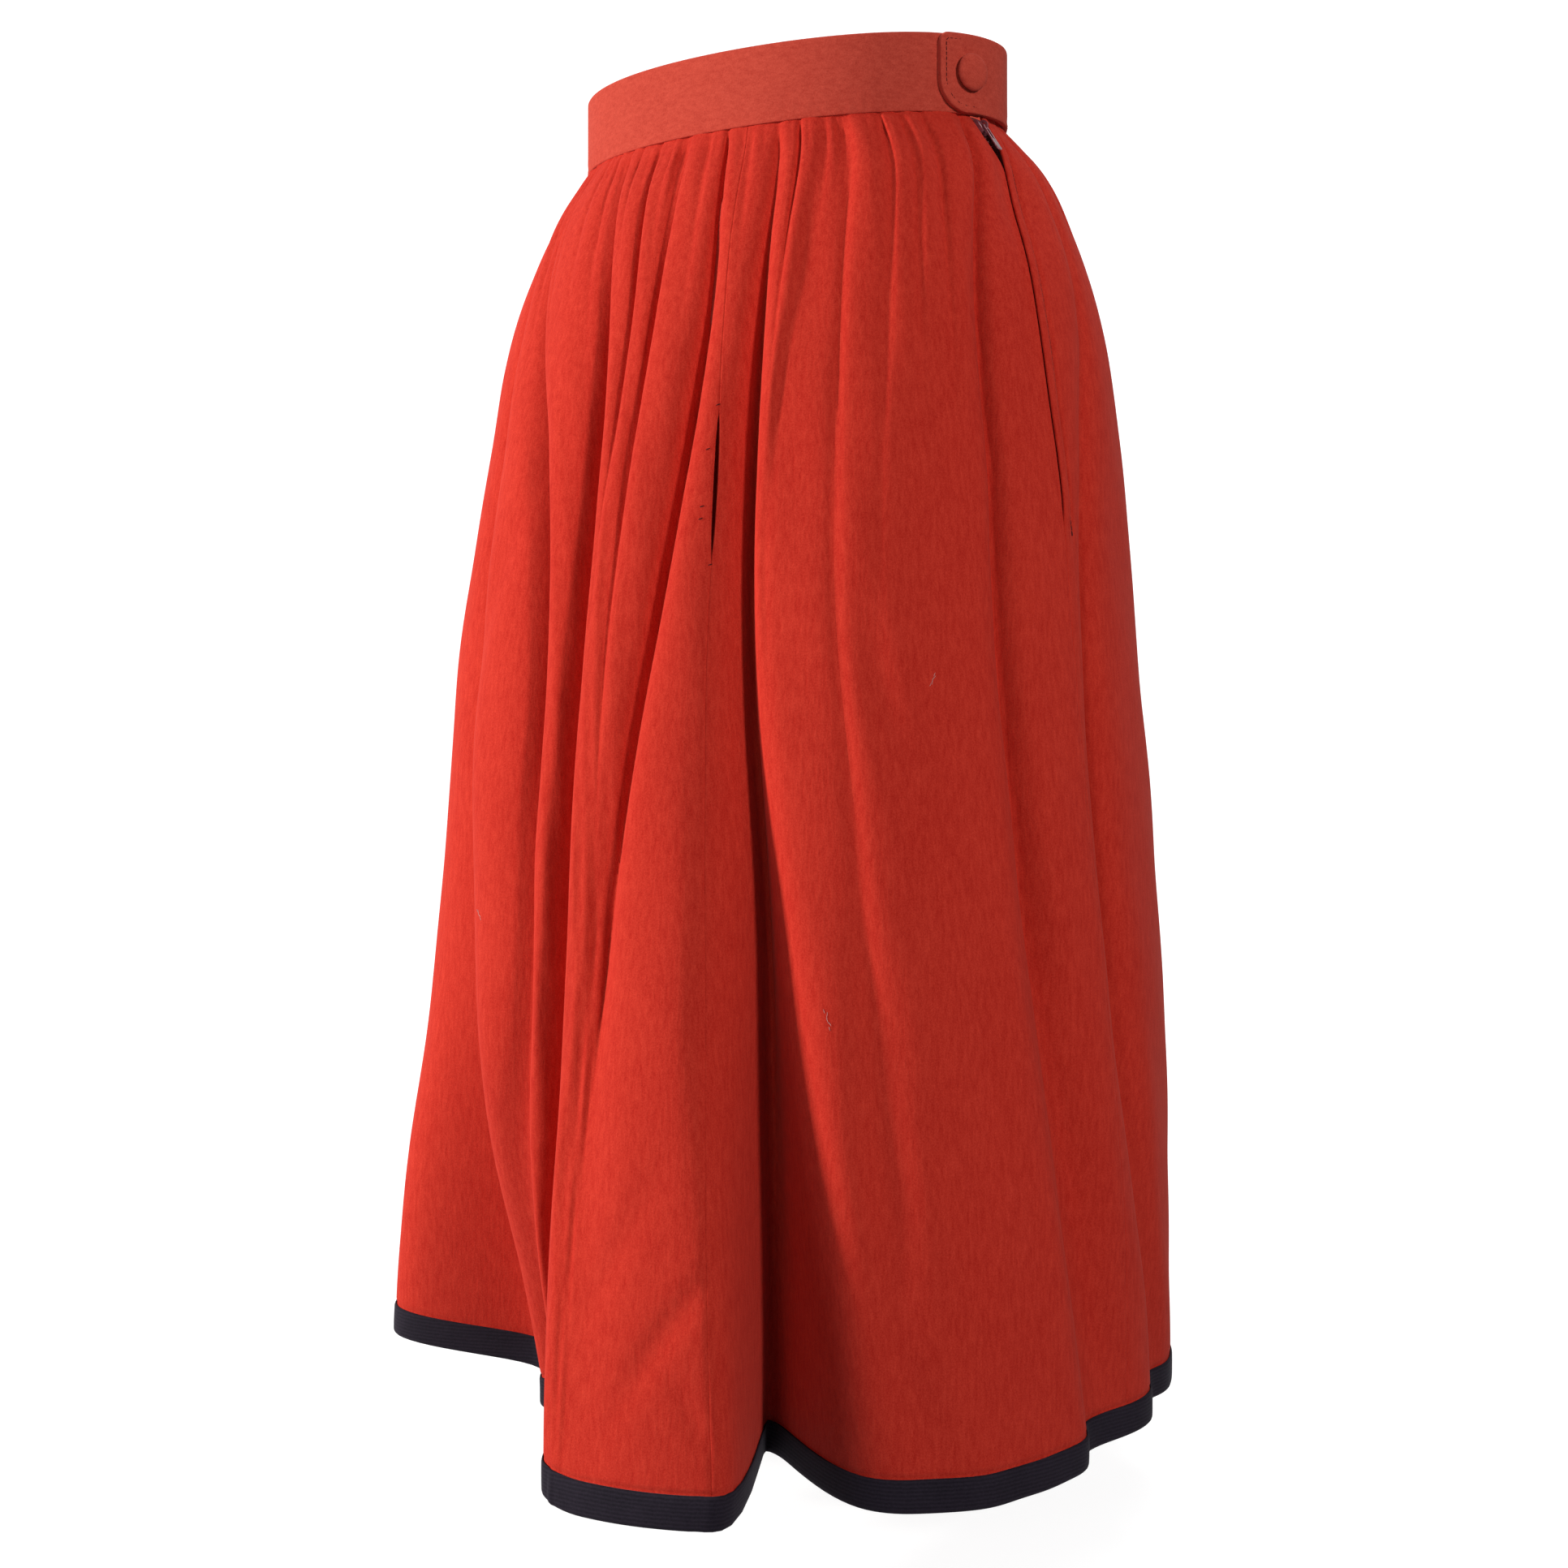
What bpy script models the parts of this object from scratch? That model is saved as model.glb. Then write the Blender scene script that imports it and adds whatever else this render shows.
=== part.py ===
"""Gathered midi skirt of brushed wool, standing open as on its wearer.

Metres, +Z up, front towards -Y and the wearer's left towards +X. The origin is the middle of the
waistband, where the wearer holds the skirt. A bearing is the angle round the skirt in degrees, 0 at
the centre of the front and 90 at the wearer's left side.
"""
import math
from collections import namedtuple

import bmesh
import bpy
import numpy as np
from mathutils import Matrix, Vector

# Sizes of the cut pieces
BAND_HEIGHT = 0.040
BAND_THICKNESS = 0.003
CLOTH = 0.0016
GAP = 0.0003
SEAM_GAP = 0.0004
HEM_Z = -0.677
BINDING_HEIGHT = 0.0145
BINDING_CLOTH = 0.0009
GATHER_PITCH = 0.0118
SEAM_Z = -0.5 * BAND_HEIGHT - GAP
SIDE_RISE = 0.0055
FRONT_DIP = 0.0045
FRONT_DIP_BEARING = 10.0

# Zip, slider and button
ZIP_BOTTOM_Z = -0.228
ZIP_TAPE_WIDTH = 0.018
ZIP_TAPE_THICKNESS = 0.0009
ZIP_COIL_WIDTH = 0.0052
ZIP_COIL_HEIGHT = 0.0011
ZIP_SETBACK = 0.0007
LAP_WIDTH = 0.010
LAP_RISE = 0.0012
MOUTH_WIDTH = 0.0085
MOUTH_BOTTOM_Z = -0.052
SLIDER_Z = -0.0268
SLIDER_LENGTH = 0.0085
SLIDER_WIDTH = 0.0058
SLIDER_THICKNESS = 0.0029
SLIDER_SIDE = 0.0042
SLIDER_LIFT = -0.00085
ARCH_LENGTH = 0.0064
ARCH_HEIGHT = 0.0029
ARCH_WALL = 0.0011
ARCH_STEPS = 11
ARCH_SINKS = 0.12
PULL_LENGTH = 0.0195
PULL_WIDTH = 0.0050
PULL_NECK_WIDTH = 0.0042
PULL_THICKNESS = 0.0008
PULL_HOLE_WIDTH = 0.0022
PULL_HOLE_LENGTH = 0.0105
PULL_BAR = 0.0008
SLIDER_SOFT_EDGE = 0.0005
PULL_SOFT_EDGE = 0.0002
BUTTON_DIAMETER = 0.019
BUTTON_HEIGHT = 0.0052
BUTTON_BEARING = 77.0
BUTTON_Z = 0.0
BUTTON_STEPS = 20
TAB_END_BEARING = 66.5
TAB_CORNER = 0.017
TAB_TOP_CORNER = 0.005
TAB_LIFT = BAND_THICKNESS + GAP

# Stations of the waistband, in degrees: evenly round the body, then closer towards the tab's end
BAND_FRONT_END_SETBACK = 1.0
BAND_STEP = 4.5
BAND_ROUND_EDGE = 0.0008
TAB_STATIONS = (14.0, 11.5, 9.0, 7.0, 5.0, 3.4, 2.0, 0.9, 0.25, 0.0)
TAB_LIFT_STARTS = 30.0
TAB_LIFT_FULL = 8.0

# Half the button's section from its back to the top of its dome, as shares of radius and height
DomePoint = namedtuple("DomePoint", "out up")
BUTTON_DOME = (
    DomePoint(0.00, 0.00),
    DomePoint(0.72, 0.00),
    DomePoint(0.94, 0.18),
    DomePoint(1.00, 0.42),
    DomePoint(0.93, 0.70),
    DomePoint(0.66, 0.92),
    DomePoint(0.33, 1.00),
    DomePoint(0.00, 1.00),
)

# The open slit in the front seam
SLIT_TOP_Z = -0.172
SLIT_BOTTOM_Z = -0.242
SLIT_WIDTH = 0.0022

# Body outline: half sizes of the ellipse through the crests of the folds, and where its middle lies
Section = namedtuple("Section", "z half_width half_depth shift_x shift_y")
SECTIONS = (
    Section(-0.020, 0.1215, 0.0905, 0.000, 0.000),
    Section(-0.040, 0.1378, 0.1045, 0.002, 0.000),
    Section(-0.080, 0.1570, 0.1230, 0.003, 0.000),
    Section(-0.130, 0.1706, 0.1392, 0.004, 0.000),
    Section(-0.180, 0.1773, 0.1498, 0.004, -0.001),
    Section(-0.290, 0.1886, 0.1698, 0.002, -0.003),
    Section(-0.440, 0.1962, 0.1925, 0.004, -0.004),
    Section(-0.600, 0.2040, 0.2090, 0.001, -0.010),
    Section(-0.680, 0.2060, 0.2160, -0.001, -0.012),
)

# Heights at which each fold's bearing and depth are given
LEVELS_Z = (-0.022, -0.090, -0.220, -0.400, -0.665)

# One row a fold, from the wearer's right side round the front, the left side and the back. The
# bearings (degrees) and depths (millimetres) are those at LEVELS_Z. The widths (millimetres) are
# half widths at the top and at the hem. Lean above 0 makes the side at the higher bearing gentler.
Fold = namedtuple("Fold", "name bearings depths width_top width_hem lean_top lean_hem")
FOLDS = (
    Fold("right_side", (-78, -76, -74, -74, -84), (3, 8, 12, 10, 6), 6, 18, -0.5, 0.0),
    Fold("right_front", (-57, -46, -39, -36, -41), (3, 9, 26, 40, 84), 7, 66, -0.5, 0.48),
    Fold("right_hip", (-44, -34, -18.5, -14, -16), (3, 11, 25, 20, 46), 6.5, 36, -0.5, 0.1),
    Fold("long_crease", (-21, -13, -7, -5, -5.5), (3, 12, 28, 32, 50), 7, 16, -0.55, 0.2),
    Fold("short_crease", (-11, -5.5, -3.5, -1, -1), (3, 7, 2, 0, 0), 5, 12, -0.6, 0.3),
    Fold("front_crease", (-0.6, 0.8, 0.4, 2, 4), (3, 8, 6, 0, 0), 5, 14, -0.6, 0.3),
    Fold("front_drape", (9.5, 11.4, 9.8, 5, 6), (3, 10, 16, 12, 2), 6, 24, -0.5, 0.2),
    Fold("deep_valley", (23.2, 21.6, 21.9, 27.2, 34.5), (3, 11, 26, 46, 100), 7.5, 25, -0.5, 0.5),
    Fold("beside_valley", (33.6, 29.5, 26, 31, 40.5), (2, 2, 5, 8, 0), 12, 60, 0.6, 0.2),
    Fold("left_drape", (40.1, 36.5, 36.1, 42.3, 52), (3, 3, 3, 4, 8), 3.5, 24, -0.5, 0.1),
    Fold("left_crease", (49.2, 45.3, 43.2, 48, 60), (2, 1.5, 0.5, 0, 0), 2.5, 16, -0.5, 0.2),
    Fold("left_gather", (54.2, 50.7, 51, 56, 66), (2, 2, 0, 0, 0), 2.5, 16, -0.5, 0.2),
    Fold("left_hip", (61.5, 56.7, 57, 62, 72), (2, 2, 0, 0, 0), 2.5, 16, -0.5, 0.2),
    Fold("before_zip", (76, 64.6, 64.1, 69.9, 85), (3, 8, 12, 16, 12), 5, 20, -0.3, 0.3),
    Fold("behind_zip", (99, 94, 86, 87, 104), (3, 4, 8, 12, 8), 5, 15, -0.2, 0.1),
    Fold("left_back", (118, 120, 123, 126, 131), (3, 7, 9, 8, 12), 5, 20, -0.4, 0.0),
    Fold("back_left", (134, 136, 139, 142, 147), (3, 10, 20, 34, 64), 6, 25, -0.5, 0.2),
    Fold("back_first", (150, 152, 154, 157, 161), (3, 6, 6, 5, 6), 4, 18, -0.4, 0.0),
    Fold("back_second", (167, 169, 171, 174, 178), (3, 9, 17, 22, 46), 6, 26, 0.4, -0.2),
    Fold("back_third", (183, 184, 186, 190, 195), (3, 6, 7, 6, 4), 4, 18, -0.5, 0.0),
    Fold("back_fourth", (202, 203, 205, 208, 211), (3, 10, 21, 36, 72), 6, 24, -0.5, 0.2),
    Fold("back_fifth", (221, 222, 224, 226, 229), (3, 6, 5, 4, 10), 4, 20, 0.4, 0.0),
    Fold("back_right", (240, 241, 242, 245, 248), (3, 9, 17, 26, 52), 6, 25, -0.5, -0.2),
    Fold("right_back", (262, 264, 266, 268, 272), (3, 8, 11, 11, 20), 5, 22, 0.3, 0.0),
)
FULL_TURN = 360.0
CREASE_SHARPNESS = 1.3
FOLD_SHARPNESS = 1.8
FOLD_WIDENING = 2.2
WIDE_FOLD = 10.0
FLARE_STARTS = 0.30

# The small gathers under the waistband, each a little different
GATHER_DEPTH = 0.0038
GATHER_DEPTH_VARIES = 0.0012
GATHER_REACH = 0.062
GATHER_REACH_VARIES = 0.030
GATHER_AT_SEAM = 0.55
GATHER_GROWS_OVER = 0.022

# The cloth beside the zip has no gathers, and its stiff tape draws it in (bearings in degrees)
UNGATHERED_BEARING = 5.0
GATHERED_BEARING = 12.0
ZIP_DIP_DEPTH = 0.0075
ZIP_DIP_BEARING = 9.0
ZIP_DIP_Z = -0.060
ZIP_DIP_REACH = 0.034

# The hem rises a little where the cloth hangs closest to the body
Rise = namedtuple("Rise", "bearing height")
HEM_RISES = (
    Rise(-90, 0.018),
    Rise(-55, 0.024),
    Rise(-30, 0.007),
    Rise(-12, 0.013),
    Rise(10, 0.000),
    Rise(60, 0.000),
    Rise(110, 0.008),
    Rise(180, 0.006),
    Rise(230, 0.008),
)

# Where the panels meet, as bearings at LEVELS_Z
FRONT_SEAM = (15.0, 14.8, 16.6, 19.8, 27.0)
LEFT_SEAM = (85.7, 76.6, 78.0, 82.5, 92.0)
RIGHT_SEAM = (-92.0, -91.0, -90.0, -89.0, -88.0)

# Heights of the rows of points; those above HALF_ROW have four columns for each gather
BINDING_TOP_Z = HEM_Z + BINDING_HEIGHT
FULL_ROWS = (SEAM_Z, -0.030, -0.043, -0.062, -0.088, -0.120)
HALF_ROWS = (-0.158, -0.200, -0.245, -0.295, -0.350, -0.405, -0.460, -0.515, -0.570, -0.620,
             BINDING_TOP_Z, HEM_Z)

SHARP_ANGLE = 60

CLOTH_RED = (0.60, 0.045, 0.022, 1.0)
BAND_RED = (0.58, 0.060, 0.035, 1.0)
BINDING_NAVY = (0.012, 0.010, 0.018, 1.0)
TAPE_RED = (0.22, 0.025, 0.020, 1.0)
METAL_ROSE = (0.42, 0.10, 0.13, 1.0)


def smooth_row(z, heights, values):
    """Values at z, on a smooth curve through the given heights (falling)."""
    x = -np.asarray(heights, float)
    y = np.asarray(values, float)
    slopes = np.gradient(y, x)
    at = np.clip(-np.asarray(z, float), x[0], x[-1])
    k = np.clip(np.searchsorted(x, at, side="right") - 1, 0, len(x) - 2)
    h = x[k + 1] - x[k]
    s = (at - x[k]) / h
    return ((1 + 2 * s) * (1 - s) ** 2 * y[k] + s * (1 - s) ** 2 * h * slopes[k]
            + s * s * (3 - 2 * s) * y[k + 1] + s * s * (s - 1) * h * slopes[k + 1])


def ease(value, low, high):
    """0 below low, 1 above high and smooth between them."""
    s = np.clip((value - low) / (high - low), 0.0, 1.0)
    return s * s * (3 - 2 * s)


def scatter(index, seed):
    """A fixed number from -1 to 1 that looks random from one index to the next."""
    return np.sin(np.asarray(index, float) * 12.9898 + seed * 78.233 + 0.7) * np.cos(
        np.asarray(index, float) * 4.1414 + seed * 3.77)


def outline(z):
    """Half width, half depth and middle of the crest ellipse at z."""
    heights = [row.z for row in SECTIONS]
    return [smooth_row(z, heights, [getattr(row, column) for row in SECTIONS])
            for column in ("half_width", "half_depth", "shift_x", "shift_y")]


def fold_bearings(z):
    """Bearing of every fold at z, rising round the skirt."""
    return np.stack([smooth_row(z, LEVELS_Z, fold.bearings) for fold in FOLDS], -1)


def arc_speed(bearing, half_width, half_depth):
    """Metres of ellipse for each degree of bearing."""
    t = np.radians(bearing)
    return np.radians(np.hypot(half_width * np.cos(t), half_depth * np.sin(t)))


def count_gathers():
    """How many gathers start at each fold: the fold's own and the small ones up to the next."""
    half_width, half_depth, _, _ = outline(SEAM_Z)
    starts = fold_bearings(SEAM_Z)
    ends = np.append(starts[1:], starts[0] + FULL_TURN)
    lengths = (ends - starts) * arc_speed(0.5 * (starts + ends), half_width, half_depth)
    return np.maximum(1, np.round(lengths / GATHER_PITCH)).astype(int)


GATHERS_AT = count_gathers()
FOLD_INDEX = np.concatenate([[0], np.cumsum(GATHERS_AT)])
GATHERS = int(FOLD_INDEX[-1])


def bearing_of(gather, z):
    """Bearing at z of a line that runs down the cloth from a place counted in gathers."""
    gather = np.asarray(gather, float)
    z = np.broadcast_to(np.asarray(z, float), gather.shape)
    turns = np.floor(gather / GATHERS)
    place = gather - turns * GATHERS
    k = np.clip(np.searchsorted(FOLD_INDEX, place, side="right") - 1, 0, len(FOLDS) - 1)
    rows = fold_bearings(z)
    rows = np.concatenate([rows, rows[..., :1] + FULL_TURN], -1)
    low = np.take_along_axis(rows, k[..., None], -1)[..., 0]
    high = np.take_along_axis(rows, k[..., None] + 1, -1)[..., 0]
    part = (place - FOLD_INDEX[k]) / GATHERS_AT[k]
    uneven = 0.10 * np.sin(2 * np.pi * part) * scatter(k, 3) * ease(z, -0.2, -0.05)
    return low + (high - low) * (part + uneven) + turns * FULL_TURN


def gather_at(bearing, z):
    """The place, counted in gathers, of a bearing at z."""
    low = np.full(np.shape(bearing), -1.0 * GATHERS)
    high = np.full(np.shape(bearing), 2.0 * GATHERS)
    for _ in range(40):
        middle = 0.5 * (low + high)
        over = bearing_of(middle, z) > bearing
        high = np.where(over, middle, high)
        low = np.where(over, low, middle)
    return 0.5 * (low + high)


def fold_depth(bearing, z, half_width, half_depth):
    """How far the folds draw the cloth in from the crest ellipse."""
    total = np.zeros(np.broadcast(bearing, z).shape)
    fall = np.clip(z / HEM_Z, 0.0, 1.0) ** FOLD_WIDENING
    flared = ease(-z, FLARE_STARTS, -HEM_Z)
    for fold in FOLDS:
        middle = smooth_row(z, LEVELS_Z, fold.bearings)
        depth = smooth_row(z, LEVELS_Z, fold.depths) * 0.001
        width = (fold.width_top + (fold.width_hem - fold.width_top) * fall) * 0.001
        away = (bearing - middle + 0.5 * FULL_TURN) % FULL_TURN - 0.5 * FULL_TURN
        arc = away * arc_speed(middle, half_width, half_depth)
        flat = 1.0 if fold.width_top > WIDE_FOLD else flared
        sharpness = CREASE_SHARPNESS + (FOLD_SHARPNESS - CREASE_SHARPNESS) * flat
        lean = fold.lean_top + (fold.lean_hem - fold.lean_top) * flared
        side = np.where(arc > 0, 1 + lean, 1 - lean)
        total += np.maximum(depth, 0) * np.exp(-np.abs(arc / (width * side)) ** sharpness)
    return total


def gather_depth(gather, z, bearing):
    """How far the small gathers under the waistband draw the cloth in."""
    index = np.round(gather)
    trough = np.cos(np.pi * (gather - index)) ** 2
    size = GATHER_DEPTH + GATHER_DEPTH_VARIES * scatter(index, 1)
    reach = GATHER_REACH + GATHER_REACH_VARIES * scatter(index, 2)
    drop = SEAM_Z - z
    grown = GATHER_AT_SEAM + (1 - GATHER_AT_SEAM) * ease(drop, 0.0, GATHER_GROWS_OVER)
    fade = np.exp(-(drop / reach) ** 2)
    return size * grown * fade * trough * flat_by_zip(bearing)


def flat_by_zip(bearing):
    """0 beside the zip, where the cloth has no gathers, and 1 away from it."""
    away = np.abs((bearing - LEFT_SEAM[0] + 0.5 * FULL_TURN) % FULL_TURN - 0.5 * FULL_TURN)
    return ease(away, UNGATHERED_BEARING, GATHERED_BEARING)


def zip_dip(bearing, z):
    """The zip's stiff tape holds the cloth closer to the hip than the gathers do."""
    middle = smooth_row(z, LEVELS_Z, LEFT_SEAM)
    away = (bearing - middle + 0.5 * FULL_TURN) % FULL_TURN - 0.5 * FULL_TURN
    near_zip = np.exp(-(away / ZIP_DIP_BEARING) ** 2)
    return ZIP_DIP_DEPTH * near_zip * np.exp(-((z - ZIP_DIP_Z) / ZIP_DIP_REACH) ** 2)


def lap_rise(bearing, z):
    """The back panel's edge rises a little over the zip."""
    half_width, half_depth, _, _ = outline(z)
    middle = smooth_row(z, LEVELS_Z, LEFT_SEAM)
    arc = (bearing % FULL_TURN - middle) * arc_speed(middle, half_width, half_depth)
    on_lap = (arc > 0) * (1 - ease(arc, LAP_WIDTH, 1.6 * LAP_WIDTH))
    return LAP_RISE * on_lap * ease(z, ZIP_BOTTOM_Z - 0.010, ZIP_BOTTOM_Z + 0.015)


def hem_rise(bearing):
    """How far the hem rises above HEM_Z at a bearing."""
    places = [row.bearing for row in HEM_RISES]
    heights = [row.height for row in HEM_RISES]
    places = places + [places[0] + FULL_TURN]
    heights = heights + [heights[0]]
    turned = (bearing - places[0]) % FULL_TURN + places[0]
    k = np.clip(np.searchsorted(places, turned, side="right") - 1, 0, len(places) - 2)
    low, high = np.take(places, k), np.take(places, k + 1)
    return np.take(heights, k) + (np.take(heights, k + 1) - np.take(heights, k)) * ease(
        turned, low, high)


def waist_tilt(bearing):
    """The waist rises towards the wearer's left side and dips at the front."""
    dip = np.maximum(0.0, np.cos(np.radians(bearing - FRONT_DIP_BEARING))) ** 2
    return SIDE_RISE * np.sin(np.radians(bearing)) - FRONT_DIP * dip


def wall_point(bearing, z):
    """A point of the cloth's outer face at a bearing and height, without the lap over the zip."""
    bearing, z = np.broadcast_arrays(np.asarray(bearing, float), np.asarray(z, float))
    half_width, half_depth, shift_x, shift_y = outline(z)
    gather = gather_at(bearing, z)
    depth = fold_depth(bearing, z, half_width, half_depth) + gather_depth(gather, z, bearing)
    depth = depth + zip_dip(bearing, z)
    t = np.radians(bearing)
    normal_x, normal_y = half_depth * np.sin(t), -half_width * np.cos(t)
    length = np.hypot(normal_x, normal_y)
    x = shift_x + half_width * np.sin(t) - depth * normal_x / length
    y = shift_y - half_depth * np.cos(t) - depth * normal_y / length
    tilt = waist_tilt(bearing) * ease(z, -0.25, -0.03)
    lift = hem_rise(bearing) * ease(-z, 0.30, -HEM_Z)
    return np.stack([x, y, z + tilt + lift], -1)


def wall_normal(bearing, z):
    """The outward normal of the cloth there."""
    step_bearing, step_z = 0.15, 0.0008
    across = wall_point(bearing + step_bearing, z) - wall_point(bearing - step_bearing, z)
    down = wall_point(bearing, z - step_z) - wall_point(bearing, z + step_z)
    normal = np.cross(down, across)
    return normal / np.linalg.norm(normal, axis=-1, keepdims=True)


def off_wall(bearing, z, distance):
    """Points that lie a distance off the cloth's outer face, less than 0 inside it."""
    bearing, z, distance = np.broadcast_arrays(
        *(np.asarray(v, float) for v in (bearing, z, distance)))
    return wall_point(bearing, z) + wall_normal(bearing, z) * distance[..., None]


def band_point(bearing, z, offset):
    """A point of the waistband at an offset outward from its inner face."""
    bearing, z, offset = np.broadcast_arrays(*(np.asarray(v, float) for v in (bearing, z, offset)))
    half_width, half_depth, shift_x, shift_y = outline(SEAM_Z)
    inner = offset - BAND_THICKNESS
    t = np.radians(bearing)
    x = shift_x + (half_width + inner) * np.sin(t)
    y = shift_y - (half_depth + inner) * np.cos(t)
    return np.stack([x, y, z + waist_tilt(bearing)], -1)


def material(name, colour, roughness, metallic=0.0):
    made = bpy.data.materials.new(name)
    made.use_nodes = True
    shader = made.node_tree.nodes["Principled BSDF"]
    shader.inputs["Base Color"].default_value = colour
    shader.inputs["Roughness"].default_value = roughness
    shader.inputs["Metallic"].default_value = metallic
    return made


def add_object(name, mesh, finish, collection):
    made = bpy.data.objects.new(name, mesh)
    made.data.materials.append(finish)
    collection.objects.link(made)
    return made


def mesh_from(name, points, faces):
    mesh = bpy.data.meshes.new(name)
    mesh.from_pydata([tuple(map(float, p)) for p in points], [], faces)
    mesh.validate()
    mesh.update()
    return mesh


def seam_edge(seam, z, side, opening):
    """Bearing of a panel's edge: half a gap from the seam, and more where the seam stands open."""
    half_width, half_depth, _, _ = outline(z)
    middle = smooth_row(z, LEVELS_Z, seam)
    return middle + side * (0.5 * SEAM_GAP + opening) / arc_speed(middle, half_width, half_depth)


def slit_opening(z):
    """Half the width of the slit in the front seam."""
    middle = 0.5 * (SLIT_TOP_Z + SLIT_BOTTOM_Z)
    half = 0.5 * (SLIT_TOP_Z - SLIT_BOTTOM_Z)
    return 0.5 * SLIT_WIDTH * np.sqrt(np.clip(1 - ((z - middle) / half) ** 2, 0, 1))


def mouth_opening(z):
    """How far the front panel stands back from the zip at its open top."""
    return MOUTH_WIDTH * ease(z, MOUTH_BOTTOM_Z, SLIDER_Z - 0.004)


def panel_rows(start_edge, end_edge):
    """Bearings and heights of a panel's rows of points, on the gathers' own lines."""
    top_start, top_end = (float(gather_at(np.array(edge(SEAM_Z)), np.array(SEAM_Z)))
                          for edge in (start_edge, end_edge))
    first = math.ceil(top_start * 2 + 0.25) * 2
    last = math.floor(top_end * 2 - 0.25) * 2
    inner = np.arange(first, last + 1) / 4.0
    rows = []
    for z in FULL_ROWS + HALF_ROWS:
        columns = inner if z in FULL_ROWS else inner[::2]
        share = (columns - top_start) / (top_end - top_start)
        left, right = float(start_edge(z)), float(end_edge(z))
        line_left, line_right = (float(bearing_of(np.array(g), np.array(z)))
                                 for g in (top_start, top_end))
        bearings = (bearing_of(columns, z) + (left - line_left) * (1 - share) ** 3
                    + (right - line_right) * share ** 3)
        rows.append((np.concatenate([[left], bearings, [right]]), z))
    return rows


def make_panel(name, start_edge, end_edge, finish, collection, rise=None):
    """A gathered panel: an outer and an inner face from its start edge to its end edge."""
    rows = panel_rows(start_edge, end_edge)
    bearings = np.concatenate([row for row, _ in rows])
    heights = np.concatenate([np.full(len(row), z) for row, z in rows])
    lift = rise(bearings, heights) if rise else np.zeros(len(bearings))
    outer, inner = off_wall(bearings, heights, lift), off_wall(bearings, heights, lift - CLOTH)
    index, start = [], 0
    for row, _ in rows:
        index.append(list(range(start, start + len(row))))
        start += len(row)
    faces = [face for pair in zip(index, index[1:]) for face in strip_faces(*pair)]
    faces += [tuple(start + k for k in reversed(face)) for face in faces]
    rim = (index[0][::-1] + [row[0] for row in index[1:-1]] + index[-1]
           + [row[-1] for row in index[-2:0:-1]])
    faces += [(a, b, b + start, a + start)[::-1] for a, b in zip(rim, rim[1:] + rim[:1])]
    mesh = mesh_from(name, np.concatenate([outer, inner]), faces)
    face_out(mesh)
    mesh.shade_smooth()
    mesh.set_sharp_from_angle(angle=math.radians(SHARP_ANGLE))
    return add_object(name, mesh, finish, collection)


def strip_faces(upper, lower):
    """Triangles between two rows, in threes where the lower row has half the points."""
    if len(upper) == len(lower):
        return [face for k in range(len(upper) - 1)
                for face in ((upper[k], lower[k], lower[k + 1]), (upper[k], lower[k + 1], upper[k + 1]))]
    faces = strip_faces(upper[:2], lower[:2]) + strip_faces(upper[-2:], lower[-2:])
    inner_upper, inner_lower = upper[1:-1], lower[1:-1]
    for k in range(len(inner_lower) - 1):
        a, b, c = inner_upper[2 * k:2 * k + 3]
        d, e = inner_lower[k], inner_lower[k + 1]
        faces.extend([(a, d, b), (b, d, e), (b, e, c)])
    return faces


def lofted(sections, closed):
    """Points and triangles of a solid through equal sections, closed round or capped at its ends.

    Each square is cut from its upper point in one section to its lower point in the next, as the
    panels' squares are, so that a strip that lies along a panel keeps an even gap to it.
    """
    points = [p for section in sections for p in section]
    size, count = len(sections[0]), len(sections)
    faces = []
    for k in range(count if closed else count - 1):
        a, b = k * size, (k + 1) % count * size
        for j in range(size):
            n = (j + 1) % size
            if points[a + j][2] > points[a + n][2]:
                faces.extend([(a + j, b + j, b + n), (a + j, b + n, a + n)])
            else:
                faces.extend([(a + j, b + j, a + n), (b + j, b + n, a + n)])
    if not closed:
        faces.append(tuple(range(size)))
        faces.append(tuple(range((count - 1) * size, count * size))[::-1])
    return points, faces


def face_out(mesh):
    work = bmesh.new()
    work.from_mesh(mesh)
    bmesh.ops.recalc_face_normals(work, faces=work.faces)
    work.to_mesh(mesh)
    work.free()


def make_hem_binding(panels, finish, collection):
    """The folded strip round the hem: a U whose arms lie off both faces of the cloth."""
    top_row, hem_row = (np.concatenate([panel_rows(*edges)[k][0] for edges in panels])
                        for k in (-2, -1))
    out_far = GAP + BINDING_CLOTH
    in_near, in_far = -CLOTH - GAP, -CLOTH - GAP - BINDING_CLOTH
    middle = 0.5 * (out_far + in_far)
    top, hem = (top_row, BINDING_TOP_Z), (hem_row, HEM_Z)
    corners = ((top, GAP, 0.0), (top, out_far, 0.0), (hem, out_far, -GAP),
               (hem, middle, -GAP - BINDING_CLOTH), (hem, in_far, -GAP), (top, in_far, 0.0),
               (top, in_near, 0.0), (hem, in_near, -GAP), (hem, GAP, -GAP))
    sections = np.empty((len(hem_row), len(corners), 3))
    for k, ((bearings, z), offset, drop) in enumerate(corners):
        sections[:, k] = off_wall(bearings, z, offset)
        sections[:, k, 2] += drop
    points, faces = lofted([list(section) for section in sections], closed=True)
    mesh = mesh_from("hem_binding", points, faces)
    face_out(mesh)
    mesh.shade_smooth()
    mesh.set_sharp_from_angle(angle=math.radians(SHARP_ANGLE))
    return add_object("hem_binding", mesh, finish, collection)


def band_offset(bearing):
    """How far the strip's inner face is moved out: its back end laps over its front end."""
    return TAB_LIFT * (1 - ease(bearing, LEFT_SEAM[0] + TAB_LIFT_FULL,
                               LEFT_SEAM[0] + TAB_LIFT_STARTS))


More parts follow.
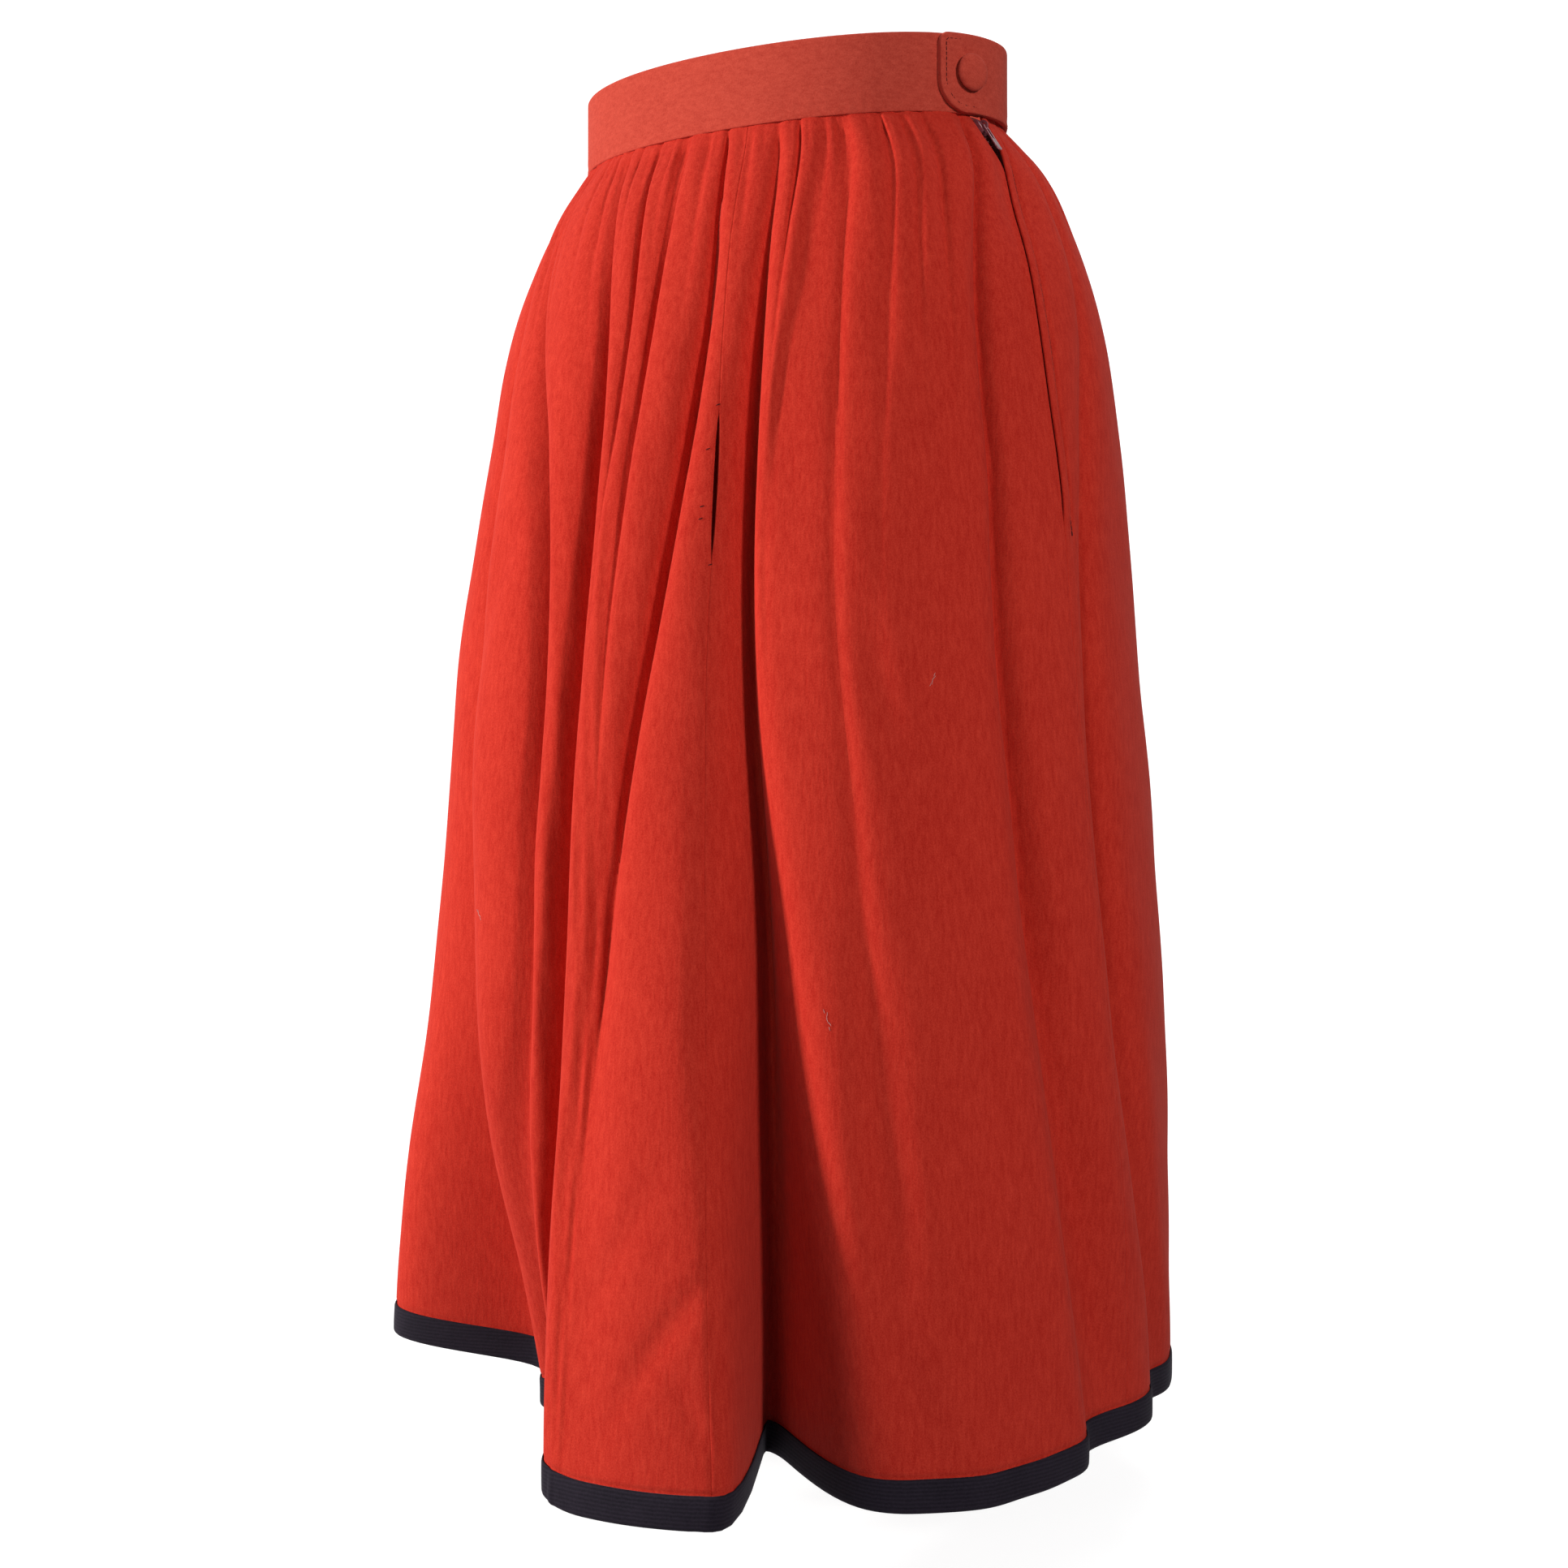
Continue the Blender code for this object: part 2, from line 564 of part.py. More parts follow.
def make_waistband(finish, collection):
    """One strip from the front end beside the zip, round the front and back, to the lapped tab."""
    half_width, half_depth, _, _ = outline(SEAM_Z)
    front_end = LEFT_SEAM[0] - BAND_FRONT_END_SETBACK
    lap_end = TAB_END_BEARING - FULL_TURN
    bearings = list(np.arange(front_end, lap_end + TAB_STATIONS[0], -BAND_STEP))
    bearings += list(lap_end + np.array(TAB_STATIONS))
    sections = []
    for bearing in bearings:
        turned = bearing % FULL_TURN
        lapped = bearing < front_end - 0.5 * FULL_TURN
        rise = float(band_offset(turned)) if lapped and turned < 180 else 0.0
        low, high = -0.5 * BAND_HEIGHT, 0.5 * BAND_HEIGHT
        if lapped:
            along = (bearing - lap_end) * float(arc_speed(lap_end, half_width, half_depth))
            low += corner_cut(along, TAB_CORNER)
            high -= corner_cut(along, TAB_TOP_CORNER)
        inner, outer = rise, rise + BAND_THICKNESS
        soft = BAND_ROUND_EDGE
        section = [(inner, low + soft), (inner, high - soft), (inner + soft, high),
                   (outer - soft, high), (outer, high - soft), (outer, low + soft),
                   (outer - soft, low), (inner + soft, low)]
        sections.append([band_point(bearing, z, offset) for offset, z in section])
    points, faces = lofted(sections, closed=False)
    mesh = mesh_from("waistband", points, faces)
    face_out(mesh)
    mesh.shade_smooth()
    return add_object("waistband", mesh, finish, collection)


def corner_cut(along, radius):
    """How far a rounded corner takes the edge in, at a distance from the strip's end."""
    if along >= radius:
        return 0.0
    return radius - math.sqrt(max(radius ** 2 - (radius - along) ** 2, 0.0))


def zip_frame(z):
    """Point on the zip's line, with the tangent across, the outward normal and the line down."""
    middle = smooth_row(z, LEVELS_Z, LEFT_SEAM)
    point = wall_point(middle, z)
    above = wall_point(smooth_row(z + 0.004, LEVELS_Z, LEFT_SEAM), z + 0.004)
    below = wall_point(smooth_row(z - 0.004, LEVELS_Z, LEFT_SEAM), z - 0.004)
    down = (below - above) / np.linalg.norm(below - above)
    t = math.radians(float(middle))
    half_width, half_depth, _, _ = outline(z)
    outward = np.array([float(half_depth) * math.sin(t), -float(half_width) * math.cos(t), 0.0])
    outward -= down * float(outward @ down)
    outward /= np.linalg.norm(outward)
    return point, np.cross(down, outward), outward, down


def make_zip_tape(finish, collection):
    """The closed zip behind the opening: flat tape with the coil raised along its middle."""
    heights = np.array([z for z in FULL_ROWS + HALF_ROWS if z > ZIP_BOTTOM_Z] + [ZIP_BOTTOM_Z])
    half_width, half_depth, _, _ = outline(heights)
    middles = smooth_row(heights, LEVELS_Z, LEFT_SEAM)
    speeds = arc_speed(middles, half_width, half_depth)
    behind = -CLOTH - ZIP_SETBACK - ZIP_COIL_HEIGHT - ZIP_TAPE_THICKNESS
    half_tape, half_coil = 0.5 * ZIP_TAPE_WIDTH, 0.5 * ZIP_COIL_WIDTH
    face = behind + ZIP_TAPE_THICKNESS
    profile = ((-half_tape, behind), (-half_tape, face), (-half_coil, face),
               (-half_coil, face + ZIP_COIL_HEIGHT), (half_coil, face + ZIP_COIL_HEIGHT),
               (half_coil, face), (half_tape, face), (half_tape, behind))
    across = np.array([place for place, _ in profile])
    offsets = np.array([offset for _, offset in profile])
    bearings = middles[:, None] + across[None, :] / speeds[:, None]
    sections = [list(row) for row in off_wall(bearings, heights[:, None], offsets[None, :])]
    points, faces = lofted(sections, closed=False)
    mesh = mesh_from("zip_tape", points, faces)
    face_out(mesh)
    return add_object("zip_tape", mesh, finish, collection)


def placed(point, across, outward, down):
    """Matrix of a small part whose X is across, Y is down and Z is outward of the cloth."""
    return Matrix(((across[0], down[0], outward[0], point[0]),
                   (across[1], down[1], outward[1], point[1]),
                   (across[2], down[2], outward[2], point[2]), (0, 0, 0, 1)))


def rounded_plate(name, outline_points, hole_points, thickness, bevel):
    """A flat plate with a hole, filled from a curve and made a mesh."""
    curve = bpy.data.curves.new(name, "CURVE")
    curve.dimensions = "2D"
    curve.fill_mode = "BOTH"
    curve.extrude = 0.5 * thickness - bevel
    curve.bevel_depth = bevel
    curve.bevel_resolution = 1
    curve.offset = -bevel
    for ring in (outline_points, hole_points):
        if not ring:
            continue
        spline = curve.splines.new("POLY")
        spline.points.add(len(ring) - 1)
        for point, (x, y) in zip(spline.points, ring):
            point.co = (x, y, 0.0, 1.0)
        spline.use_cyclic_u = True
    holder = bpy.data.objects.new(name, curve)
    bpy.context.scene.collection.objects.link(holder)
    evaluated = holder.evaluated_get(bpy.context.evaluated_depsgraph_get())
    mesh = bpy.data.meshes.new_from_object(evaluated)
    bpy.data.objects.remove(holder)
    bpy.data.curves.remove(curve)
    work = bmesh.new()
    work.from_mesh(mesh)
    bmesh.ops.remove_doubles(work, verts=work.verts, dist=0.00001)
    bmesh.ops.recalc_face_normals(work, faces=work.faces)
    work.to_mesh(mesh)
    work.free()
    return mesh


def stadium(length, top_width, bottom_width, top_y, steps=6):
    """Outline of a strip with round ends that widens from top to bottom."""
    top_radius, bottom_radius = 0.5 * top_width, 0.5 * bottom_width
    top_centre, bottom_centre = top_y + top_radius, top_y + length - bottom_radius
    ring = [(top_radius * math.cos(a), top_centre - top_radius * math.sin(a))
            for a in np.linspace(0, math.pi, steps)]
    ring += [(-bottom_radius * math.cos(a), bottom_centre + bottom_radius * math.sin(a))
             for a in np.linspace(0, math.pi, steps)]
    return [(float(x), float(y)) for x, y in ring]


def make_slider(finish, collection):
    """The slider body with the arch that holds the pull tab."""
    point, across, outward, down = zip_frame(SLIDER_Z)
    point = point + across * SLIDER_SIDE
    work = bmesh.new()
    bmesh.ops.create_cube(work, size=1.0)
    bmesh.ops.scale(work, vec=(SLIDER_WIDTH, SLIDER_LENGTH, SLIDER_THICKNESS), verts=work.verts)
    bmesh.ops.translate(work, vec=(0, 0, SLIDER_LIFT), verts=work.verts)
    mesh = bpy.data.meshes.new("zip_slider")
    work.to_mesh(mesh)
    work.free()
    slider = add_object("zip_slider", mesh, finish, collection)
    slider.matrix_world = placed(point, across, outward, down)
    bevel = slider.modifiers.new("soft_edges", "BEVEL")
    bevel.width = SLIDER_SOFT_EDGE
    bevel.segments = 2
    arch = make_arch()
    arch.matrix_world = slider.matrix_world
    join = slider.modifiers.new("arch", "BOOLEAN")
    join.operation = "UNION"
    join.object = arch
    return slider


def make_arch():
    """The arch over the slider, sunk into its face, as a closed tube bent in a half oval."""
    base = SLIDER_LIFT + 0.5 * SLIDER_THICKNESS
    half_wall = 0.5 * ARCH_WALL
    radius = 0.5 * ARCH_LENGTH - half_wall
    height = ARCH_HEIGHT - half_wall
    sections = []
    for angle in np.linspace(-ARCH_SINKS, math.pi + ARCH_SINKS, ARCH_STEPS):
        y, z = radius * math.cos(angle), base + height * math.sin(angle)
        ry, rz = math.cos(angle), math.sin(angle)
        sections.append([(sx * half_wall, y + s * half_wall * ry, z + s * half_wall * rz)
                         for sx, s in ((-1, -1), (1, -1), (1, 1), (-1, 1))])
    points, faces = lofted(sections, closed=False)
    mesh = mesh_from("arch_cutter", points, faces)
    face_out(mesh)
    arch = bpy.data.objects.new("arch_cutter", mesh)
    cutters = bpy.data.collections["cutters"]
    cutters.objects.link(arch)
    arch.hide_render = True
    arch.display_type = "WIRE"
    return arch


def pull_axis():
    """Centre of the pull tab's bar under the arch, and the zip's directions there."""
    point, across, outward, down = zip_frame(SLIDER_Z)
    lift = SLIDER_LIFT + 0.5 * SLIDER_THICKNESS + 0.5 * (ARCH_HEIGHT - ARCH_WALL)
    return point + across * SLIDER_SIDE + outward * lift, across, outward, down


def make_pull(finish, collection):
    """The pull tab, hanging from the arch on the slider and lying along the zip."""
    ring = stadium(PULL_LENGTH, PULL_NECK_WIDTH, PULL_WIDTH, -PULL_BAR * 0.5)
    hole = stadium(PULL_HOLE_LENGTH, PULL_HOLE_WIDTH, PULL_HOLE_WIDTH, PULL_BAR * 0.5)
    mesh = rounded_plate("zip_pull", ring, hole, PULL_THICKNESS, PULL_SOFT_EDGE)
    pull = add_object("zip_pull", mesh, finish, collection)
    point, across, outward, down = pull_axis()
    pull.matrix_world = placed(point, across, outward, down)
    return pull


def make_button(finish, collection):
    """The cloth covered button on the tab, a turned dome."""
    radius = 0.5 * BUTTON_DIAMETER
    points = [(row.out * radius, 0.0, row.up * BUTTON_HEIGHT) for row in reversed(BUTTON_DOME)]
    mesh = mesh_from("waist_button", points, [])
    work = bmesh.new()
    work.from_mesh(mesh)
    work.verts.ensure_lookup_table()
    for a, b in zip(list(work.verts), list(work.verts)[1:]):
        work.edges.new((a, b))
    work.to_mesh(mesh)
    work.free()
    button = add_object("waist_button", mesh, finish, collection)
    turned = button.modifiers.new("turned", "SCREW")
    turned.steps = BUTTON_STEPS
    turned.render_steps = BUTTON_STEPS
    turned.use_merge_vertices = True
    turned.merge_threshold = 0.00005
    lift = TAB_LIFT + BAND_THICKNESS + GAP
    outer = band_point(BUTTON_BEARING, BUTTON_Z, lift)
    t = math.radians(BUTTON_BEARING)
    half_width, half_depth, _, _ = outline(SEAM_Z)
    outward = Vector((float(half_depth) * math.sin(t), -float(half_width) * math.cos(t), 0.0))
    outward.normalize()
    across = Vector((0, 0, -1)).cross(outward)
    button.matrix_world = placed(outer, across, outward, Vector((0, 0, -1)))
    return button


def main():
    for old in list(bpy.data.objects):
        bpy.data.objects.remove(old)
    scene = bpy.context.scene
    parts = bpy.data.collections.new("gathered_midi_skirt")
    cutters = bpy.data.collections.new("cutters")
    scene.collection.children.link(parts)
    scene.collection.children.link(cutters)
    wool = material("brushed_wool", CLOTH_RED, 0.92)
    band = material("waistband_wool", BAND_RED, 0.90)
    navy = material("woven_binding", BINDING_NAVY, 0.85)
    tape = material("zip_tape", TAPE_RED, 0.80)
    metal = material("zip_enamel", METAL_ROSE, 0.30, 0.6)

    def front_seam(side):
        return lambda z: seam_edge(FRONT_SEAM, z, side, slit_opening(z))

    def plain_seam(seam, side, turn=0.0):
        return lambda z: seam_edge(seam, z, side, 0.0) + turn

    edges = {
        "front_right_panel": (plain_seam(RIGHT_SEAM, 1), front_seam(-1)),
        "front_left_panel": (front_seam(1),
                             lambda z: seam_edge(LEFT_SEAM, z, -1, mouth_opening(z))),
        "back_panel": (plain_seam(LEFT_SEAM, 1), plain_seam(RIGHT_SEAM, -1, FULL_TURN)),
    }
    for name, (start, end) in edges.items():
        rise = lap_rise if name == "back_panel" else None
        make_panel(name, start, end, wool, parts, rise)
    make_hem_binding(edges.values(), navy, parts)
    make_waistband(band, parts)
    make_zip_tape(tape, parts)
    make_slider(metal, parts)
    make_pull(metal, parts)
    make_button(band, parts)


main()
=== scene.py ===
"""Gathered midi skirt of rust red brushed wool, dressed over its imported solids.

Metres, +Z up, front towards -Y and the wearer's left towards +X. The origin is the middle of the
waistband. A bearing is the angle round the skirt in degrees, 0 at the centre of the front and 90 at
the wearer's left side. The cloth follows the same named forms as the solids, with finer creases.
"""

import math
from collections import namedtuple

import bmesh
import bpy
import numpy as np
from mathutils import Matrix, Vector

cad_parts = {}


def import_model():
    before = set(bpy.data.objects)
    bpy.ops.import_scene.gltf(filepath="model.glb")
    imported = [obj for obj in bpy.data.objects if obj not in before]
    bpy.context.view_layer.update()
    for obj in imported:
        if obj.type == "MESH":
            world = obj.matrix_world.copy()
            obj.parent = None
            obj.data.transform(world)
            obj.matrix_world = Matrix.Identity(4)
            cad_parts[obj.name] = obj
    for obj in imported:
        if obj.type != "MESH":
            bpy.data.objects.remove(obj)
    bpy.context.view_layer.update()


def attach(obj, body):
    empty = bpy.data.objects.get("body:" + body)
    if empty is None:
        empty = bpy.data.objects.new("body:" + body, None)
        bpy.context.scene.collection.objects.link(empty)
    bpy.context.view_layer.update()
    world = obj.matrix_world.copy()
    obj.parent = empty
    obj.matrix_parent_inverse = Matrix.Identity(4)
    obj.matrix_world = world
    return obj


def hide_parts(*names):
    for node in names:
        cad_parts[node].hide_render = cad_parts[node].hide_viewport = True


# The photograph's camera, in its own pixels
PHOTO_SIDE = 1932
FOCAL_PX = 2727
HORIZON_ROW = 800
CAMERA_AZIMUTH = 34.0
CAMERA_DISTANCE = 1.2022
CAMERA_HEIGHT = -0.286
CAMERA_SIDESTEP = 0.0044
SENSOR_MM = 36.0
CAMERA_CLIP = 50.0

# The white floor, and the wall that it bends up into behind the skirt
FLOOR_Z = -0.725
FLOOR_SIZE = 6.0
FLOOR_BACK = 2.7
FLOOR_BEND = 1.2
FLOOR_WALL = 3.2

# Sizes that the solids also have
BAND_HEIGHT = 0.040
BAND_THICKNESS = 0.003
GAP = 0.0003
HEM_Z = -0.677
BINDING_HEIGHT = 0.0145
GATHER_PITCH = 0.0118
SEAM_Z = -0.5 * BAND_HEIGHT - GAP
SIDE_RISE = 0.0055
FRONT_DIP = 0.0045
FRONT_DIP_BEARING = 10.0
ZIP_BOTTOM_Z = -0.228
MOUTH_WIDTH = 0.0085
MOUTH_BOTTOM_Z = -0.052
MOUTH_FULL_BELOW = 0.004
SLIDER_Z = -0.0268
TAB_END_BEARING = 66.5
TAB_CORNER = 0.017
TAB_TOP_CORNER = 0.005
TAB_LIFT = BAND_THICKNESS + GAP
TAB_LIFT_STARTS = 30.0
TAB_LIFT_FULL = 8.0
BAND_FRONT_END_SETBACK = 1.0
BUTTON_DIAMETER = 0.019
BUTTON_HEIGHT = 0.0052
BUTTON_BEARING = 77.0
BUTTON_Z = 0.0
SLIT_TOP_Z = -0.172
SLIT_BOTTOM_Z = -0.242
SLIT_WIDTH = 0.0022
FULL_TURN = 360.0
MILLIMETRE = 0.001
HALVINGS = 22

# Body outline: half sizes of the ellipse through the crests of the folds, and where its middle lies
Section = namedtuple("Section", "z half_width half_depth shift_x shift_y")
SECTIONS = (
    Section(-0.020, 0.1215, 0.0905, 0.000, 0.000),
    Section(-0.040, 0.1378, 0.1045, 0.002, 0.000),
    Section(-0.080, 0.1570, 0.1230, 0.003, 0.000),
    Section(-0.130, 0.1706, 0.1392, 0.004, 0.000),
    Section(-0.180, 0.1773, 0.1498, 0.004, -0.001),
    Section(-0.290, 0.1886, 0.1698, 0.002, -0.003),
    Section(-0.440, 0.1962, 0.1925, 0.004, -0.004),
    Section(-0.600, 0.2040, 0.2090, 0.001, -0.010),
    Section(-0.680, 0.2060, 0.2160, -0.001, -0.012),
)

# Heights at which each fold's bearing and depth are given
LEVELS_Z = (-0.022, -0.090, -0.220, -0.400, -0.665)

# One row a fold, from the wearer's right side round the front, the left side and the back. The
# bearings (degrees) and depths (millimetres) are those at LEVELS_Z. The widths (millimetres) are
# half widths at the top and at the hem, and so are the two leans. A lean above 0 makes the side at
# the higher bearing gentler.
Fold = namedtuple("Fold", "name bearings depths width_top width_hem lean_top lean_hem")
FOLDS = (
    Fold("right_side", (-78, -76, -74, -74, -84), (3, 8, 12, 10, 6), 6, 18, -0.5, 0.0),
    Fold("right_front", (-57, -46, -39, -36, -41), (3, 9, 26, 40, 84), 7, 66, -0.5, 0.48),
    Fold("right_hip", (-44, -34, -18.5, -14, -16), (3, 11, 25, 20, 46), 6.5, 36, -0.5, 0.1),
    Fold("long_crease", (-21, -13, -7, -5, -5.5), (3, 12, 28, 32, 50), 7, 16, -0.55, 0.2),
    Fold("short_crease", (-11, -5.5, -3.5, -1, -1), (3, 7, 2, 0, 0), 5, 12, -0.6, 0.3),
    Fold("front_crease", (-0.6, 0.8, 0.4, 2, 4), (3, 8, 6, 0, 0), 5, 14, -0.6, 0.3),
    Fold("front_drape", (9.5, 11.4, 9.8, 5, 6), (3, 10, 16, 12, 2), 6, 24, -0.5, 0.2),
    Fold("deep_valley", (23.2, 21.6, 21.9, 27.2, 34.5), (3, 11, 26, 46, 100), 7.5, 25, -0.5, 0.5),
    Fold("beside_valley", (33.6, 29.5, 26, 31, 40.5), (2, 2, 5, 8, 0), 12, 60, 0.6, 0.2),
    Fold("left_drape", (40.1, 36.5, 36.1, 42.3, 52), (3, 3, 3, 4, 8), 3.5, 24, -0.5, 0.1),
    Fold("left_crease", (49.2, 45.3, 43.2, 48, 60), (2, 1.5, 0.5, 0, 0), 2.5, 16, -0.5, 0.2),
    Fold("left_gather", (54.2, 50.7, 51, 56, 66), (2, 2, 0, 0, 0), 2.5, 16, -0.5, 0.2),
    Fold("left_hip", (61.5, 56.7, 57, 62, 72), (2, 2, 0, 0, 0), 2.5, 16, -0.5, 0.2),
    Fold("before_zip", (76, 64.6, 64.1, 69.9, 85), (3, 8, 12, 16, 12), 5, 20, -0.3, 0.3),
    Fold("behind_zip", (99, 94, 86, 87, 104), (3, 4, 8, 12, 8), 5, 15, -0.2, 0.1),
    Fold("left_back", (118, 120, 123, 126, 131), (3, 7, 9, 8, 12), 5, 20, -0.4, 0.0),
    Fold("back_left", (134, 136, 139, 142, 147), (3, 10, 20, 34, 64), 6, 25, -0.5, 0.2),
    Fold("back_first", (150, 152, 154, 157, 161), (3, 6, 6, 5, 6), 4, 18, -0.4, 0.0),
    Fold("back_second", (167, 169, 171, 174, 178), (3, 9, 17, 22, 46), 6, 26, 0.4, -0.2),
    Fold("back_third", (183, 184, 186, 190, 195), (3, 6, 7, 6, 4), 4, 18, -0.5, 0.0),
    Fold("back_fourth", (202, 203, 205, 208, 211), (3, 10, 21, 36, 72), 6, 24, -0.5, 0.2),
    Fold("back_fifth", (221, 222, 224, 226, 229), (3, 6, 5, 4, 10), 4, 20, 0.4, 0.0),
    Fold("back_right", (240, 241, 242, 245, 248), (3, 9, 17, 26, 52), 6, 25, -0.5, -0.2),
    Fold("right_back", (262, 264, 266, 268, 272), (3, 8, 11, 11, 20), 5, 22, 0.3, 0.0),
)

# How a fold runs: a narrow core in a hollow above, rounder and wider where the skirt flares
FOLD_SHARPNESS = 2.3
FOLD_WIDENING = 2.2
WIDE_FOLD = 10.0
FLARE_STARTS = 0.30
FOLD_CORE = 0.22
FOLD_CORE_WIDTH = 0.34
FOLD_CORE_SHARPNESS = 1.05
CREASE_SHARPNESS = 1.1
NARROW_FOLD = 0.020
FOLD_AT_SEAM = 0.40
FOLD_GROWS_OVER = 0.016

# The small gathers under the waistband, each a little different
GATHER_DEPTH = 0.0028
GATHER_DEPTH_VARIES = 0.0020
GATHER_REACH = 0.052
GATHER_REACH_VARIES = 0.042
SMALL_GATHER_DEPTH = 0.0011
SMALL_GATHER_REACH = 0.020
GATHER_AT_SEAM = 0.35
GATHER_GROWS_OVER = 0.012
GATHER_SHARPNESS = 1.15
GATHER_WIDTH = 0.12
GATHER_SKEW = 0.45
GATHER_SHIFT = 0.20
GATHER_UNEVEN = 0.24
SMALL_GATHER_VARIES = 0.6
EVEN_BELOW_Z = -0.20
UNEVEN_ABOVE_Z = -0.05
TUCK_DEPTH = 0.0003
TUCK_REACH = 0.0025
TUCKED_IN = 0.0030

# Seeds of what differs from one gather to the next
SEED_DEPTH = 1
SEED_REACH = 2
SEED_SPACING = 3
SEED_SHIFT = 4
SEED_SMALL_DEPTH = 5
SEED_SMALL_SHIFT = 6

# The cloth beside the zip has no gathers, and its stiff tape draws it in (bearings in degrees)
UNGATHERED_BEARING = 5.0
GATHERED_BEARING = 12.0
ZIP_DIP_DEPTH = 0.0075
ZIP_DIP_BEARING = 9.0
ZIP_DIP_Z = -0.060
ZIP_DIP_REACH = 0.034

# The waist's tilt fades out down the skirt between these heights
TILT_FULL_Z = -0.03
TILT_ENDS_Z = -0.25

# The hem rises a little where the cloth hangs closest to the body
Rise = namedtuple("Rise", "bearing height")
HEM_RISES = (
    Rise(-90, 0.018),
    Rise(-55, 0.024),
    Rise(-30, 0.007),
    Rise(-12, 0.013),
    Rise(10, 0.000),
    Rise(60, 0.000),
    Rise(110, 0.008),
    Rise(180, 0.006),
    Rise(230, 0.008),
)

# Where the panels meet, as bearings at LEVELS_Z
FRONT_SEAM = (15.0, 14.8, 16.6, 19.8, 27.0)
LEFT_SEAM = (85.7, 76.6, 78.0, 82.5, 92.0)
RIGHT_SEAM = (-92.0, -91.0, -90.0, -89.0, -88.0)

# The shell of cloth and the turned-in allowance at its seams
CLOTH = 0.0010
SEAM_GAP = -0.0004
ALLOWANCE = 0.011
SEAM_ROLL = 0.0007
ALLOWANCE_DEPTH = 2.4
ROLL_POINTS = 7
FLAP_POINTS = 6
EDGE_BLEND = 3

# The back panel's lap over the zip, with finer columns of points over its first gathers
LAP_WIDTH = 0.0065
LAP_RISE = 0.0018
LAP_EDGE_IN = 0.0006
LAP_EDGE_OUT = 0.0012
LAP_RUNS_PAST = 0.010
LAP_FULL_ABOVE = 0.015
LAP_GATHERS = 1.2
LAP_COLUMN = 0.05

# What stitching and pressing sink into the cloth, and the slight waves of hanging cloth
STITCH_SINK = 0.0024
STITCH_SINK_WIDTH = 0.0015
PRESS_LINE = 0.0060
PRESS_STEP = 0.00035
PRESS_FAR_SIDE = 0.35
PRESS_FROM_Z = -0.27
PRESS_FULL_Z = -0.36
WAVE_DEPTH = 0.0006
SMALL_WAVE = 0.6

# The line that the binding's upper edge presses into the cloth
BOUND_Z = HEM_Z + BINDING_HEIGHT + 0.0006
BOUND_SINK = 0.0007
BOUND_REACH = 0.0012

# Steps between the rows of points down the cloth, each as far as a height. They are short under
# the waistband and along the binding's upper edge.
RowStep = namedtuple("RowStep", "until step")
ROW_STEPS = (
    RowStep(-0.060, 0.0018),
    RowStep(-0.220, 0.0034),
    RowStep(HEM_Z + 0.0190, 0.0052),
    RowStep(HEM_Z + 0.0130, 0.0010),
    RowStep(HEM_Z, 0.0045),
)

# Columns of points for each gather
FRONT_COLUMNS = 14
BACK_COLUMNS = 9
BINDING_COLUMNS = 14
BINDING_CLOTH = 0.0005

# Small wrinkles, by bearing and height of their middle. Turn is in degrees from straight down,
# above 0 where the lower end lies towards the higher bearing. Sizes are in millimetres.
Wrinkle = namedtuple("Wrinkle", "bearing z turn length width depth")
WRINKLES = (
    Wrinkle(21, -0.585, -38, 30, 5, 1.6),
    Wrinkle(17, -0.610, -30, 26, 5, 1.4),
    Wrinkle(24, -0.630, 32, 22, 4, 1.3),
    Wrinkle(12, -0.560, -24, 34, 7, 1.2),
    Wrinkle(44, -0.300, 12, 60, 9, 1.2),
    Wrinkle(-14, -0.330, -10, 70, 9, 1.4),
    Wrinkle(-28, -0.250, -14, 60, 8, 1.5),
    Wrinkle(62, -0.480, 14, 70, 10, 1.4),
    Wrinkle(150, -0.300, 10, 70, 9, 1.4),
    Wrinkle(192, -0.450, -12, 80, 9, 1.5),
    Wrinkle(235, -0.250, 12, 60, 8, 1.4),
    Wrinkle(-80, -0.420, -12, 70, 9, 1.4),
)

# Linear colours
WOOL_DEEP = (0.420, 0.012, 0.006, 1.0)
WOOL_LIGHT = (0.620, 0.042, 0.022, 1.0)
BAND_DEEP = (0.400, 0.034, 0.020, 1.0)
BAND_LIGHT = (0.580, 0.074, 0.045, 1.0)
NAVY_DEEP = (0.005, 0.003, 0.007, 1.0)
NAVY_LIGHT = (0.022, 0.016, 0.026, 1.0)
TAPE_DEEP = (0.140, 0.014, 0.014, 1.0)
TAPE_LIGHT = (0.260, 0.035, 0.032, 1.0)
THREAD_RED = (0.060, 0.004, 0.004, 1.0)
ENAMEL_ROSE = (0.260, 0.070, 0.090, 1.0)
COIL_ROSE = (0.230, 0.040, 0.045, 1.0)
LINT_PALE = (0.62, 0.42, 0.40, 1.0)
FLOOR_PALE = (0.32, 0.32, 0.32, 1.0)
FLOOR_GLOW = 0.86


def smooth_row(z, heights, values):
    """Values at z, on a smooth curve through the given heights (falling)."""
    x = -np.asarray(heights, float)
    y = np.asarray(values, float)
    slopes = np.gradient(y, x)
    at = np.clip(-np.asarray(z, float), x[0], x[-1])
    k = np.clip(np.searchsorted(x, at, side="right") - 1, 0, len(x) - 2)
    h = x[k + 1] - x[k]
    s = (at - x[k]) / h
    return ((1 + 2 * s) * (1 - s) ** 2 * y[k] + s * (1 - s) ** 2 * h * slopes[k]
            + s * s * (3 - 2 * s) * y[k + 1] + s * s * (s - 1) * h * slopes[k + 1])


def ease(value, low, high):
    """0 below low, 1 above high and smooth between them."""
    s = np.clip((value - low) / (high - low), 0.0, 1.0)
    return s * s * (3 - 2 * s)


